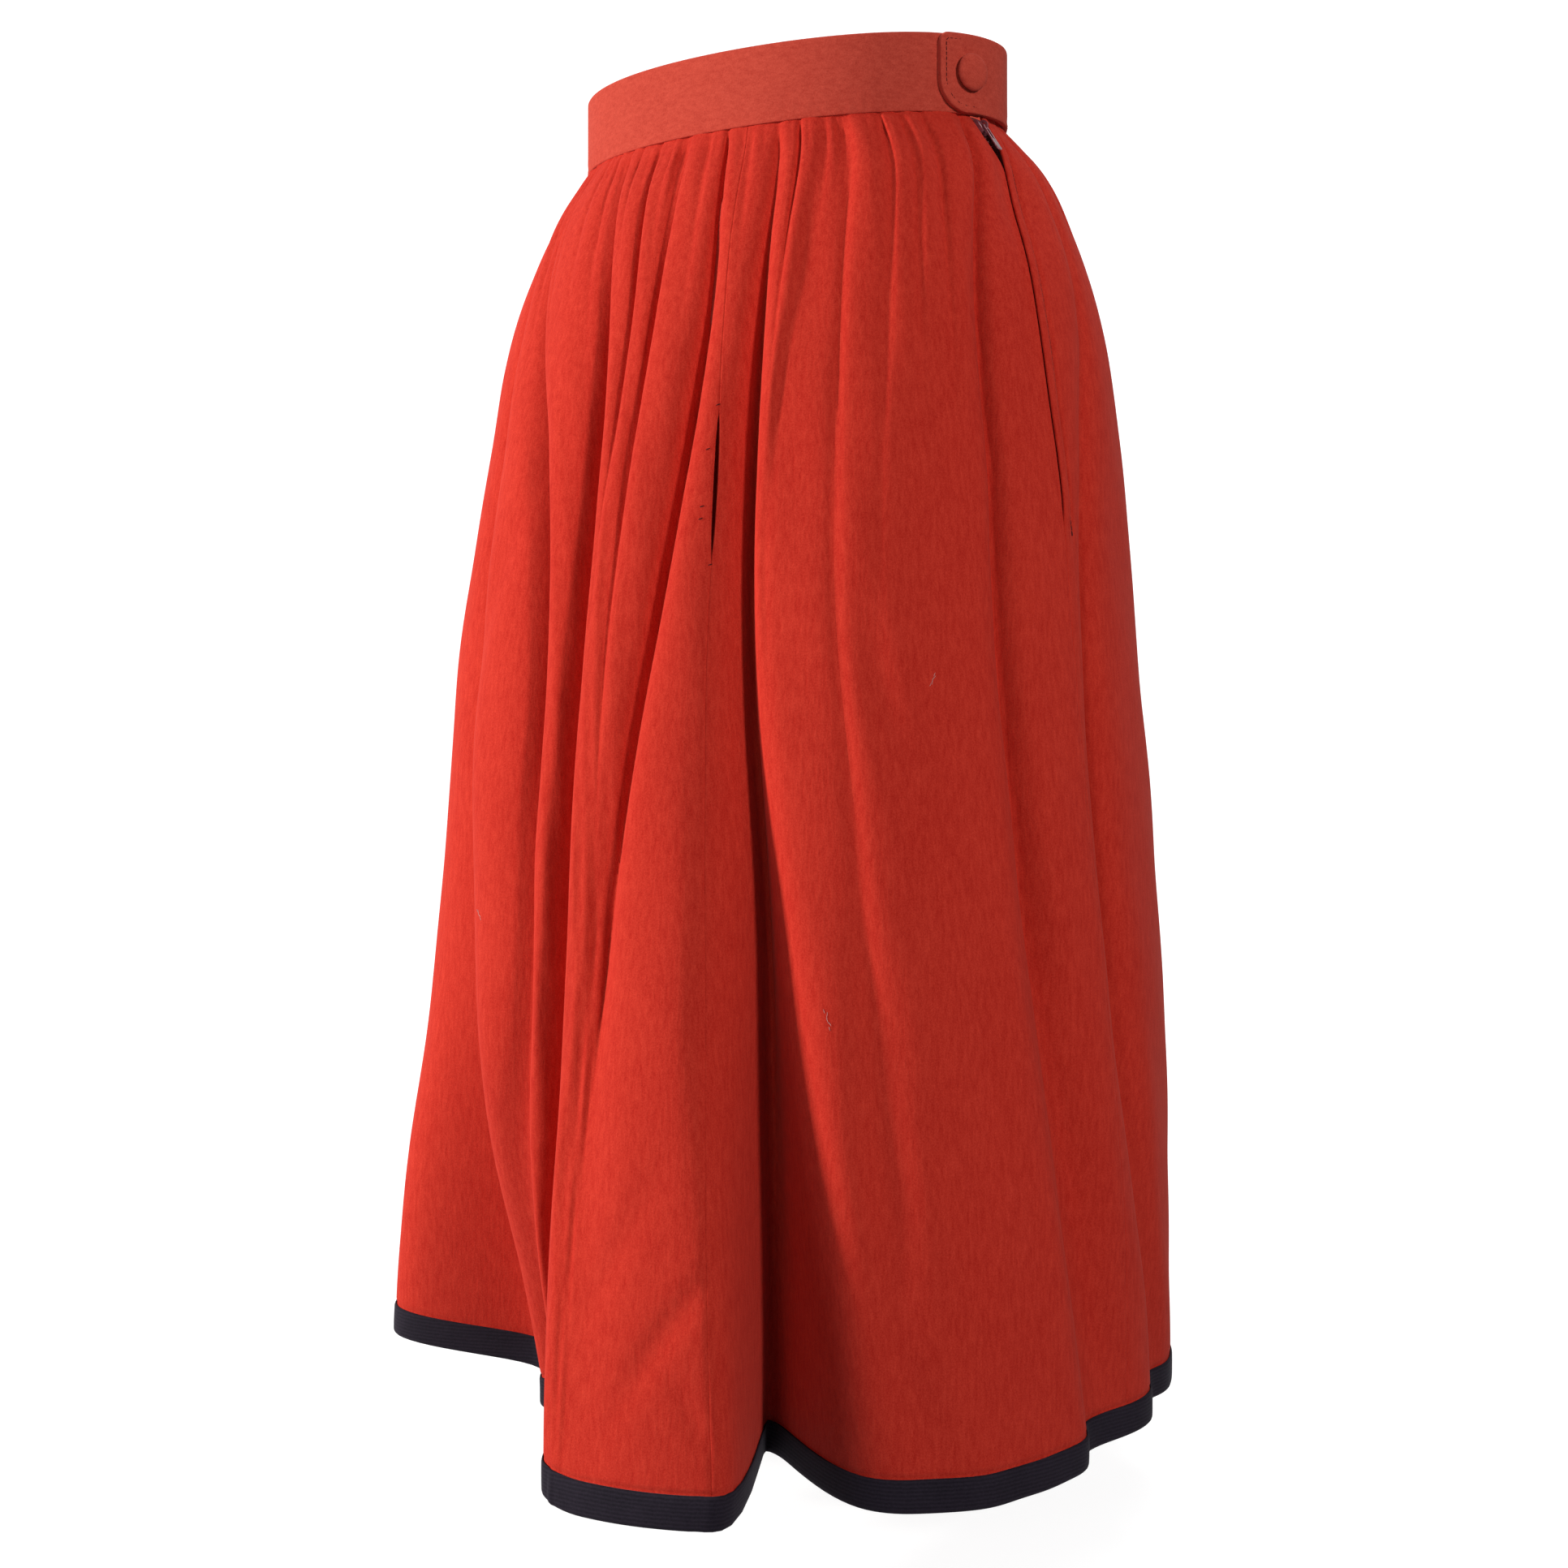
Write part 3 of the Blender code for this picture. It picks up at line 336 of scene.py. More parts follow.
def scatter(index, seed):
    """A fixed number from -1 to 1 that looks random from one index to the next."""
    return np.sin(np.asarray(index, float) * 12.9898 + seed * 78.233 + 0.7) * np.cos(
        np.asarray(index, float) * 4.1414 + seed * 3.77)


def turned_by(bearing, middle):
    """Degrees from middle to bearing, the short way round."""
    return (bearing - middle + 0.5 * FULL_TURN) % FULL_TURN - 0.5 * FULL_TURN


def outline(z):
    """Half width, half depth and middle of the crest ellipse at z."""
    heights = [row.z for row in SECTIONS]
    return [smooth_row(z, heights, [getattr(row, column) for row in SECTIONS])
            for column in ("half_width", "half_depth", "shift_x", "shift_y")]


def fold_bearings(z):
    """Bearing of every fold at z, rising round the skirt."""
    return np.stack([smooth_row(z, LEVELS_Z, fold.bearings) for fold in FOLDS], -1)


def arc_speed(bearing, half_width, half_depth):
    """Metres of ellipse for each degree of bearing."""
    t = np.radians(bearing)
    return np.radians(np.hypot(half_width * np.cos(t), half_depth * np.sin(t)))


def count_gathers():
    """How many gathers start at each fold: the fold's own and the small ones up to the next."""
    half_width, half_depth, _, _ = outline(SEAM_Z)
    starts = fold_bearings(SEAM_Z)
    ends = np.append(starts[1:], starts[0] + FULL_TURN)
    lengths = (ends - starts) * arc_speed(0.5 * (starts + ends), half_width, half_depth)
    return np.maximum(1, np.round(lengths / GATHER_PITCH)).astype(int)


GATHERS_AT = count_gathers()
FOLD_INDEX = np.concatenate([[0], np.cumsum(GATHERS_AT)])
GATHERS = int(FOLD_INDEX[-1])


def bearing_on(gather, z, folds):
    """Bearing at z of a place counted in gathers, from the fold bearings there."""
    turns = np.floor(gather / GATHERS)
    place = gather - turns * GATHERS
    k = np.clip(np.searchsorted(FOLD_INDEX, place, side="right") - 1, 0, len(FOLDS) - 1)
    low = np.take_along_axis(folds, k[..., None], -1)[..., 0]
    high = np.take_along_axis(folds, k[..., None] + 1, -1)[..., 0]
    part = (place - FOLD_INDEX[k]) / GATHERS_AT[k]
    uneven = GATHER_UNEVEN / np.pi * np.sin(2 * np.pi * part) * scatter(k, SEED_SPACING)
    uneven = uneven * ease(z, EVEN_BELOW_Z, UNEVEN_ABOVE_Z)
    return low + (high - low) * (part + uneven) + turns * FULL_TURN


def folds_round(z):
    """Fold bearings at z, with the first one again a full turn on."""
    rows = fold_bearings(z)
    return np.concatenate([rows, rows[..., :1] + FULL_TURN], -1)


def bearing_of(gather, z):
    """Bearing at z of a line that runs down the cloth from a place counted in gathers."""
    gather, z = np.broadcast_arrays(np.asarray(gather, float), np.asarray(z, float))
    return bearing_on(gather, z, folds_round(z))


def gather_at(bearing, z):
    """The place, counted in gathers, of a bearing at z."""
    bearing, z = np.broadcast_arrays(np.asarray(bearing, float), np.asarray(z, float))
    folds = folds_round(z)
    low = np.full(bearing.shape, -1.0 * GATHERS)
    high = np.full(bearing.shape, 2.0 * GATHERS)
    for _ in range(HALVINGS):
        middle = 0.5 * (low + high)
        over = bearing_on(middle, z, folds) > bearing
        high = np.where(over, middle, high)
        low = np.where(over, low, middle)
    return 0.5 * (low + high)


def fold_depth(bearing, z, half_width, half_depth):
    """How far the folds draw the cloth in from the crest ellipse."""
    total = np.zeros(np.broadcast(bearing, z).shape)
    fall = np.clip(z / HEM_Z, 0.0, 1.0) ** FOLD_WIDENING
    flared = ease(-z, FLARE_STARTS, -HEM_Z)
    for fold in FOLDS:
        middle = smooth_row(z, LEVELS_Z, fold.bearings)
        depth = smooth_row(z, LEVELS_Z, fold.depths) * MILLIMETRE
        width = (fold.width_top + (fold.width_hem - fold.width_top) * fall) * MILLIMETRE
        arc = turned_by(bearing, middle) * arc_speed(middle, half_width, half_depth)
        flat = 1.0 if fold.width_top > WIDE_FOLD else flared
        sharpness = CREASE_SHARPNESS + (FOLD_SHARPNESS - CREASE_SHARPNESS) * flat
        lean = fold.lean_top + (fold.lean_hem - fold.lean_top) * flared
        side = np.where(arc > 0, 1 + lean, 1 - lean)
        away = np.abs(arc / (width * side))
        share = FOLD_CORE * np.minimum(1.0, NARROW_FOLD / width) * (1 - flat)
        hollow = (1 - share) * np.exp(-away ** sharpness)
        core = share * np.exp(-(away / FOLD_CORE_WIDTH) ** FOLD_CORE_SHARPNESS)
        total += np.maximum(depth, 0) * (hollow + core)
    return total * (FOLD_AT_SEAM + (1 - FOLD_AT_SEAM) * ease(SEAM_Z - z, 0.0, FOLD_GROWS_OVER))


def gather_depth(gather, z, bearing):
    """How far the small gathers under the waistband draw the cloth in."""
    index = np.round(gather)
    away = gather - index - GATHER_SHIFT * scatter(index, SEED_SHIFT)
    away = away * np.where(away > 0, 1 + GATHER_SKEW, 1 - GATHER_SKEW)
    trough = np.exp(-(np.abs(away) / GATHER_WIDTH) ** GATHER_SHARPNESS)
    size = GATHER_DEPTH + GATHER_DEPTH_VARIES * scatter(index, SEED_DEPTH)
    reach = GATHER_REACH + GATHER_REACH_VARIES * scatter(index, SEED_REACH)
    drop = SEAM_Z - z
    grown = GATHER_AT_SEAM + (1 - GATHER_AT_SEAM) * ease(drop, 0.0, GATHER_GROWS_OVER)
    fade = np.exp(-(drop / reach) ** 2)
    before = np.floor(gather)
    aside = np.abs(gather - before - 0.5 - GATHER_SHIFT * scatter(before, SEED_SMALL_SHIFT))
    between = np.exp(-(aside / GATHER_WIDTH) ** GATHER_SHARPNESS)
    small_size = SMALL_GATHER_DEPTH * (1 + SMALL_GATHER_VARIES * scatter(before, SEED_SMALL_DEPTH))
    small = small_size * between * np.exp(-(drop / SMALL_GATHER_REACH) ** 2)
    return (size * fade * trough + small) * grown * flat_by_zip(bearing)


def flat_by_zip(bearing):
    """0 beside the zip, where the cloth has no gathers, and 1 away from it."""
    return ease(np.abs(turned_by(bearing, LEFT_SEAM[0])), UNGATHERED_BEARING, GATHERED_BEARING)


def zip_dip(bearing, z):
    """The zip's stiff tape holds the cloth closer to the hip than the gathers do."""
    away = turned_by(bearing, smooth_row(z, LEVELS_Z, LEFT_SEAM))
    near_zip = np.exp(-(away / ZIP_DIP_BEARING) ** 2)
    return ZIP_DIP_DEPTH * near_zip * np.exp(-((z - ZIP_DIP_Z) / ZIP_DIP_REACH) ** 2)


def wrinkle_depth(bearing, z, half_width, half_depth):
    """How far the small wrinkles draw the cloth in."""
    total = np.zeros(np.broadcast(bearing, z).shape)
    for row in WRINKLES:
        across = turned_by(bearing, row.bearing) * arc_speed(row.bearing, half_width, half_depth)
        down = row.z - z
        turn = math.radians(row.turn)
        along = down * math.cos(turn) + across * math.sin(turn)
        aside = across * math.cos(turn) - down * math.sin(turn)
        total += (MILLIMETRE * row.depth * np.exp(-(along / (MILLIMETRE * row.length)) ** 2)
                  * np.exp(-(aside / (MILLIMETRE * row.width)) ** 2))
    return total


def soft_waves(gather, z):
    """Slight unevenness of hanging cloth, that no fold accounts for: sines that never line up."""
    wave = np.sin(2.3 * gather + 9.0 * z + 0.8 * np.sin(17.0 * z)) * np.sin(1.1 * gather - 31.0 * z)
    small_wave = np.sin(4.1 * gather + 23.0 * z) * np.sin(0.7 * gather + 47.0 * z)
    return WAVE_DEPTH * (wave + SMALL_WAVE * small_wave)


def seam_at(seam, z):
    """Bearing of a seam at z, and the metres of ellipse for each degree there."""
    half_width, half_depth, _, _ = outline(z)
    middle = smooth_row(z, LEVELS_Z, seam)
    return middle, arc_speed(middle, half_width, half_depth)


def press_line(bearing, z):
    """The edge of the pressed allowance shows through beside the front seam."""
    middle, speed = seam_at(FRONT_SEAM, z)
    arc = turned_by(bearing, middle) * speed
    shown = ease(-z, -PRESS_FROM_Z, -PRESS_FULL_Z)
    away = (np.abs(arc) - PRESS_LINE) / STITCH_SINK_WIDTH
    return PRESS_STEP * shown * np.exp(-away ** 2) * np.where(arc < 0, 1.0, PRESS_FAR_SIDE)


def hem_rise(bearing):
    """How far the hem rises above HEM_Z at a bearing."""
    places = [row.bearing for row in HEM_RISES]
    heights = [row.height for row in HEM_RISES]
    places = places + [places[0] + FULL_TURN]
    heights = heights + [heights[0]]
    turned = (bearing - places[0]) % FULL_TURN + places[0]
    k = np.clip(np.searchsorted(places, turned, side="right") - 1, 0, len(places) - 2)
    low, high = np.take(places, k), np.take(places, k + 1)
    return np.take(heights, k) + (np.take(heights, k + 1) - np.take(heights, k)) * ease(
        turned, low, high)


def waist_tilt(bearing):
    """The waist rises towards the wearer's left side and dips at the front."""
    dip = np.maximum(0.0, np.cos(np.radians(bearing - FRONT_DIP_BEARING))) ** 2
    return SIDE_RISE * np.sin(np.radians(bearing)) - FRONT_DIP * dip


def wall_point(bearing, z):
    """A point of the cloth's outer face at a bearing and height, without the lap over the zip."""
    bearing, z = np.broadcast_arrays(np.asarray(bearing, float), np.asarray(z, float))
    half_width, half_depth, shift_x, shift_y = outline(z)
    gather = gather_at(bearing, z)
    depth = fold_depth(bearing, z, half_width, half_depth) + gather_depth(gather, z, bearing)
    depth = depth + zip_dip(bearing, z) + soft_waves(gather, z)
    depth = depth + wrinkle_depth(bearing, z, half_width, half_depth)
    depth = depth + press_line(bearing, z)
    depth = depth + BOUND_SINK * np.exp(-((z - BOUND_Z) / BOUND_REACH) ** 2)
    depth = depth + TUCK_DEPTH * np.exp(-np.clip(SEAM_Z - z, 0, None) / TUCK_REACH)
    t = np.radians(bearing)
    normal_x, normal_y = half_depth * np.sin(t), -half_width * np.cos(t)
    length = np.hypot(normal_x, normal_y)
    x = shift_x + half_width * np.sin(t) - depth * normal_x / length
    y = shift_y - half_depth * np.cos(t) - depth * normal_y / length
    tilt = waist_tilt(bearing) * ease(z, TILT_ENDS_Z, TILT_FULL_Z)
    lift = hem_rise(bearing) * ease(-z, FLARE_STARTS, -HEM_Z)
    return np.stack([x, y, z + tilt + lift], -1)


def wall_normal(bearing, z):
    """The outward normal of the cloth there."""
    step_bearing, step_z = 0.12, 0.0008
    across = wall_point(bearing + step_bearing, z) - wall_point(bearing - step_bearing, z)
    down = wall_point(bearing, z - step_z) - wall_point(bearing, z + step_z)
    normal = np.cross(down, across)
    return normal / np.linalg.norm(normal, axis=-1, keepdims=True)


def off_wall(bearing, z, distance):
    """Points that lie a distance off the cloth's outer face, less than 0 inside it."""
    bearing, z, distance = np.broadcast_arrays(
        *(np.asarray(v, float) for v in (bearing, z, distance)))
    return wall_point(bearing, z) + wall_normal(bearing, z) * distance[..., None]


def lap_rise(bearing, z):
    """The back panel's edge over the zip: raised as far as its line of stitching."""
    middle, speed = seam_at(LEFT_SEAM, z)
    arc = turned_by(bearing, middle) * speed
    down_zip = ease(z, ZIP_BOTTOM_Z - LAP_RUNS_PAST, ZIP_BOTTOM_Z + LAP_FULL_ABOVE)
    raised = LAP_RISE * (1 - ease(arc, LAP_WIDTH - LAP_EDGE_IN, LAP_WIDTH + LAP_EDGE_OUT))
    sunk = STITCH_SINK * np.exp(-((arc - LAP_WIDTH) / STITCH_SINK_WIDTH) ** 2)
    return (raised - sunk) * down_zip


def band_point(bearing, z, offset):
    """A point of the waistband at an offset outward from its inner face."""
    bearing, z, offset = np.broadcast_arrays(*(np.asarray(v, float) for v in (bearing, z, offset)))
    half_width, half_depth, shift_x, shift_y = outline(SEAM_Z)
    inner = offset - BAND_THICKNESS
    t = np.radians(bearing)
    x = shift_x + (half_width + inner) * np.sin(t)
    y = shift_y - (half_depth + inner) * np.cos(t)
    return np.stack([x, y, z + waist_tilt(bearing)], -1)


def beside_seam(seam, distance, z):
    """Bearing at z of a line at a distance round the cloth from a seam."""
    middle, speed = seam_at(seam, z)
    return middle + distance / speed


def seam_edge(seam, z, side, opening):
    """Bearing of a panel's edge: half a gap from the seam, and more where the seam stands open."""
    return beside_seam(seam, side * (0.5 * SEAM_GAP + opening), z)


def slit_opening(z):
    """Half the width of the slit in the front seam."""
    middle = 0.5 * (SLIT_TOP_Z + SLIT_BOTTOM_Z)
    half = 0.5 * (SLIT_TOP_Z - SLIT_BOTTOM_Z)
    return 0.5 * SLIT_WIDTH * np.sqrt(np.clip(1 - ((z - middle) / half) ** 2, 0, 1))


def mouth_opening(z):
    """How far the front panel stands back from the zip at its open top."""
    return MOUTH_WIDTH * ease(z, MOUTH_BOTTOM_Z, SLIDER_Z - MOUTH_FULL_BELOW)


# Meshes

def grid_faces(rows, columns, closed=False):
    """Faces of a grid of points given row by row, closed round its columns or not."""
    count = columns if closed else columns - 1
    return [(r * columns + c, (r + 1) * columns + c, (r + 1) * columns + (c + 1) % columns,
             r * columns + (c + 1) % columns) for r in range(rows - 1) for c in range(count)]


def add_mesh(name, points, faces, finish):
    """A smooth shaded mesh in the scene, from its points and faces."""
    mesh = bpy.data.meshes.new(name)
    mesh.from_pydata(np.asarray(points, float).reshape(-1, 3).tolist(), [], faces)
    mesh.update()
    mesh.shade_smooth()
    mesh.materials.append(finish)
    made = bpy.data.objects.new(name, mesh)
    bpy.context.scene.collection.objects.link(made)
    return made


def thicken(piece, thickness):
    """Gives a sheet its thickness on the inner side."""
    shell = piece.modifiers.new("thickness", "SOLIDIFY")
    shell.thickness = thickness
    shell.offset = -1.0
    shell.use_rim = True
    return piece


def row_heights():
    """Heights of the rows of points, from under the waistband to the hem."""
    heights = [SEAM_Z + TUCKED_IN]
    for until, step in ROW_STEPS:
        count = max(1, round((heights[-1] - until) / step))
        heights += list(np.linspace(heights[-1], until, count + 1)[1:])
    return np.array(heights)


def allowance_columns():
    """Distances in from a panel's edge and offsets of its turned-in allowance, from its free end."""
    inner = -ALLOWANCE_DEPTH * SEAM_ROLL
    roll = [(SEAM_ROLL * (1 - math.sin(a)), 0.5 * inner * (1 - math.cos(a)))
            for a in np.linspace(math.pi, 0, ROLL_POINTS)]
    flap = [(d, inner) for d in np.linspace(ALLOWANCE, 2 * SEAM_ROLL, FLAP_POINTS)]
    return flap + roll


def panel_grid(start_edge, end_edge, per_gather, rise):
    """Points of a panel, row by row, with an allowance turned in at each of its two edges."""
    heights = row_heights()
    top = np.array(SEAM_Z)
    ends = [float(gather_at(edge(top), top)) for edge in (start_edge, end_edge)]
    count = round((ends[1] - ends[0]) * per_gather)
    share = np.linspace(0, 1, count + 1)
    if rise:
        fine = np.arange(0, LAP_GATHERS, LAP_COLUMN) / (ends[1] - ends[0])
        share = np.concatenate([fine, share[share > fine[-1] + 0.5 / count]])
    share = share[1:-1]
    lines = ends[0] + (ends[1] - ends[0]) * share
    z = np.broadcast_to(heights[:, None], (len(heights), len(share)))
    left, right = start_edge(heights)[:, None], end_edge(heights)[:, None]
    line_left, line_right = (bearing_of(np.full(len(heights), g), heights)[:, None] for g in ends)
    body = (bearing_of(np.broadcast_to(lines, z.shape), z)
            + (left - line_left) * (1 - share) ** EDGE_BLEND
            + (right - line_right) * share ** EDGE_BLEND)
    half_width, half_depth, _, _ = outline(heights)
    flap = np.array(allowance_columns())
    first, last = ((edge + side * flap[None, ::side, 0]
                    / arc_speed(edge[:, 0], half_width, half_depth)[:, None])
                   for edge, side in ((left, 1), (right, -1)))
    bearings = np.concatenate([first, body, last], 1)
    offsets = np.concatenate([flap[:, 1], np.zeros(len(share)), flap[::-1, 1]])
    z = np.broadcast_to(heights[:, None], bearings.shape)
    offsets = np.broadcast_to(offsets, bearings.shape)
    if rise:
        offsets = offsets + rise(bearings, z)
    return off_wall(bearings, z, offsets)


def make_panel(name, start_edge, end_edge, per_gather, finish, rise=None):
    """A gathered panel of cloth."""
    points = panel_grid(start_edge, end_edge, per_gather, rise)
    rows, columns = points.shape[:2]
    piece = add_mesh(name, points, grid_faces(rows, columns), finish)
    return thicken(piece, CLOTH)


# Half the section of the hem binding: height above the hem's edge and offset off the cloth, in
# millimetres, from the top of its outer arm round the fold to the top of its inner arm
Arm = namedtuple("Arm", "up off")
BINDING_SECTION = (
    Arm(14.1, 0.15),
    Arm(14.5, 0.55),
    Arm(14.2, 0.90),
    Arm(13.0, 0.98),
    Arm(9.0, 1.02),
    Arm(4.0, 1.06),
    Arm(1.0, 1.02),
    Arm(0.0, 0.75),
    Arm(-0.7, 0.10),
    Arm(-0.9, -0.50),
    Arm(-0.7, -1.20),
    Arm(0.2, -1.85),
    Arm(4.0, -2.00),
    Arm(9.0, -2.00),
    Arm(13.0, -1.90),
)


def make_binding(finish):
    """The dark strip folded over the hem, all round."""
    lines = np.linspace(0, GATHERS, GATHERS * BINDING_COLUMNS, endpoint=False)
    rows = []
    for up, off in BINDING_SECTION:
        z = np.full(lines.shape, HEM_Z + MILLIMETRE * max(up, 0.0))
        row = off_wall(bearing_of(lines, z), z, MILLIMETRE * off)
        row[:, 2] += MILLIMETRE * min(up, 0.0)
        rows.append(row)
    points = np.stack(rows)
    piece = add_mesh("hem_binding_cloth", points, grid_faces(len(rows), len(lines), closed=True),
                     finish)
    return thicken(piece, BINDING_CLOTH)


def corner_cut(along, radius):
    """How far a rounded corner takes the edge in, at a distance from the strip's end."""
    if along >= radius:
        return 0.0
    return radius - math.sqrt(max(radius ** 2 - (radius - along) ** 2, 0.0))


def band_offset(bearing):
    """How far the strip's inner face is moved out: its back end laps over its front end."""
    return TAB_LIFT * (1 - ease(bearing, LEFT_SEAM[0] + TAB_LIFT_FULL,
                               LEFT_SEAM[0] + TAB_LIFT_STARTS))


# The waistband's faces: rows across its height, and its soft edges. Its stations round the waist
# are BAND_STEP degrees apart, and closer over the tab's length, in degrees, towards its end.
BAND_FACE_ROWS = 15
BAND_EDGE_ROWS = 7
BAND_STEP = 1.2
TAB_STATIONS = 26
TAB_LENGTH = 19.0
TAB_CROWDING = 1.6
TAB_RIM = 0.0034
TAB_RIM_SINK = 0.0005
TAB_LINE_REACH = 0.026
BAND_LINE = 0.0045
BAND_LINE_SINK = 0.00035
GROOVE_WIDTH = 0.0008
PUCKER = 0.00035
PUCKER_REACH = 0.006
SEWN_EDGE = 0.4


def band_section(bearing, low, high, lift, tab_distance):
    """Points round the strip at a bearing: up its outer face, over, down its inner face, under."""
    half = 0.5 * BAND_THICKNESS
    heights = np.linspace(low + half, high - half, BAND_FACE_ROWS)
    edge = np.minimum(heights - low, high - heights)
    if tab_distance is not None:
        edge = np.minimum(edge, tab_distance)
        sink = TAB_RIM_SINK * np.exp(-((edge - TAB_RIM) / GROOVE_WIDTH) ** 2)
    else:
        sink = BAND_LINE_SINK * np.exp(-((heights - low - BAND_LINE) / GROOVE_WIDTH) ** 2)
    waves = PUCKER * np.sin(2.1 * bearing + 0.6 * math.sin(0.37 * bearing)) * np.exp(
        -(heights - low) / PUCKER_REACH)
    outer = list(zip(heights, half - sink - waves))
    arc = np.linspace(0, math.pi, BAND_EDGE_ROWS + 2)[1:-1]
    top = [(high - half + half * math.sin(a), half * math.cos(a)) for a in arc]
    inner = [(z, -half) for z in heights[::-1]]
    bottom = [(low + half - half * math.sin(a) ** SEWN_EDGE,
               -half * math.copysign(abs(math.cos(a)) ** SEWN_EDGE, math.cos(a))) for a in arc]
    return [band_point(bearing, z, lift + half + off) for z, off in outer + top + inner + bottom]


def make_band(finish):
    """The waistband: one strip from its front end beside the zip, round to the lapped tab."""
    half_width, half_depth, _, _ = outline(SEAM_Z)
    front_end = LEFT_SEAM[0] - BAND_FRONT_END_SETBACK
    lap_end = TAB_END_BEARING - FULL_TURN
    bearings = list(np.arange(front_end, lap_end + TAB_LENGTH, -BAND_STEP))
    bearings += list(lap_end + TAB_LENGTH * (1 - np.linspace(0, 1, TAB_STATIONS)) ** TAB_CROWDING)
    sections = []
    for bearing in bearings:
        turned = bearing % FULL_TURN
        lapped = bearing < front_end - 0.5 * FULL_TURN
        lift = float(band_offset(turned)) if lapped and turned < 180 else 0.0
        low, high, along = -0.5 * BAND_HEIGHT, 0.5 * BAND_HEIGHT, None
        if lapped:
            along = (bearing - lap_end) * float(arc_speed(lap_end, half_width, half_depth))
            low += corner_cut(along, TAB_CORNER)
            high -= corner_cut(along, TAB_TOP_CORNER)
            along = along if turned < LEFT_SEAM[0] + TAB_LIFT_FULL else None
        sections.append(band_section(bearing, low, high, lift, along))
    columns = len(sections[0])
    faces = grid_faces(len(sections), columns, closed=True)
    faces.append(tuple(range(columns)))
    faces.append(tuple(range((len(sections) - 1) * columns, len(sections) * columns))[::-1])
    piece = add_mesh("waistband_cloth", np.array(sections), faces, finish)
    face_out(piece.data)
    return piece


def face_out(mesh, merge=0.0):
    """Merges points closer than merge, if any, and turns every face outward."""
    work = bmesh.new()
    work.from_mesh(mesh)
    if merge:
        bmesh.ops.remove_doubles(work, verts=work.verts, dist=merge)
    bmesh.ops.recalc_face_normals(work, faces=work.faces)
    work.to_mesh(mesh)
    work.free()


# A thread's stations along its length, with its thickness there, as shares of both
Station = namedtuple("Station", "along size")
THREAD_STATIONS = (
    Station(-0.50, 0.25),
    Station(-0.38, 0.85),
    Station(0.00, 1.00),
    Station(0.38, 0.85),
    Station(0.50, 0.25),
)
THREAD_SIDES = 6
TANGENT_STEP = 0.0004

# Sizes of each kind of thread, and how far off the cloth it lies. No pitch: each is placed one by
# one.
Stitch = namedtuple("Stitch", "pitch length radius lift")
TOPSTITCH = Stitch(0.0027, 0.0026, 0.00042, 0.0002)
TAB_STITCH = Stitch(0.0026, 0.0021, 0.00022, 0.00015)
TACK = Stitch(None, 0.0022, 0.00028, 0.0001)
FIBRE = Stitch(None, 0.0020, 0.00009, 0.00012)
TOPSTITCH_TOP_Z = SEAM_Z - 0.002
TOPSTITCH_BOTTOM_Z = ZIP_BOTTOM_Z - 0.004
TOPSTITCH_STEP = 0.003


def capsules(name, places, length, radius, finish):
    """Many short threads in one mesh. places is (middle, direction, outward normal) of each."""
    ring, stations = THREAD_SIDES, THREAD_STATIONS
    points, faces = [], []
    for middle, along, outward in places:
        along = along / np.linalg.norm(along)
        side = np.cross(outward, along)
        side /= np.linalg.norm(side)
        up = np.cross(along, side)
        start = len(points)
        for place, size in stations:
            for k in range(ring):
                a = 2 * math.pi * k / ring
                points.append(middle + along * place * length + radius * size * (
                    math.cos(a) * side + math.sin(a) * up))
        for s in range(len(stations) - 1):
            for k in range(ring):
                n = (k + 1) % ring
                faces.append((start + s * ring + k, start + s * ring + n,
                              start + (s + 1) * ring + n, start + (s + 1) * ring + k))
        faces.append(tuple(start + k for k in range(ring))[::-1])
        faces.append(tuple(start + (len(stations) - 1) * ring + k for k in range(ring)))
    return add_mesh(name, points, faces, finish)


def stitches_along(points, normals, pitch):
    """Places for stitches at an even pitch along a line of points."""
    points, normals = np.asarray(points), np.asarray(normals)
    steps = np.linalg.norm(np.diff(points, axis=0), axis=1)
    run = np.concatenate([[0], np.cumsum(steps)])
    places = []
    for at in np.arange(0.5 * pitch, run[-1], pitch):
        here, ahead = (np.array([np.interp(at + d, run, points[:, k]) for k in range(3)])
                       for d in (-TANGENT_STEP, TANGENT_STEP))
        outward = np.array([np.interp(at, run, normals[:, k]) for k in range(3)])
        places.append((0.5 * (here + ahead), ahead - here, outward))
    return places


def make_topstitch(finish):
    """The line of stitching beside the zip, along the lap's edge."""
    count = round((TOPSTITCH_TOP_Z - TOPSTITCH_BOTTOM_Z) / TOPSTITCH_STEP)
    z = np.linspace(TOPSTITCH_TOP_Z, TOPSTITCH_BOTTOM_Z, count)
    bearings = beside_seam(LEFT_SEAM, LAP_WIDTH, z)
    points = off_wall(bearings, z, lap_rise(bearings, z) + TOPSTITCH.lift)
    places = stitches_along(points, wall_normal(bearings, z), TOPSTITCH.pitch)
    return capsules("zip_topstitch", places, TOPSTITCH.length, TOPSTITCH.radius, finish)


# Materials

WOOL_SHEEN = (1.0, 0.42, 0.34, 1.0)
WEAVE_SHEEN = (0.8, 0.75, 0.9, 1.0)
NOISE_ROUGHNESS = 0.6
WAVE_TURN = 6.28
DEEP_THREAD = 0.7
WORN_ENAMEL = 1.6


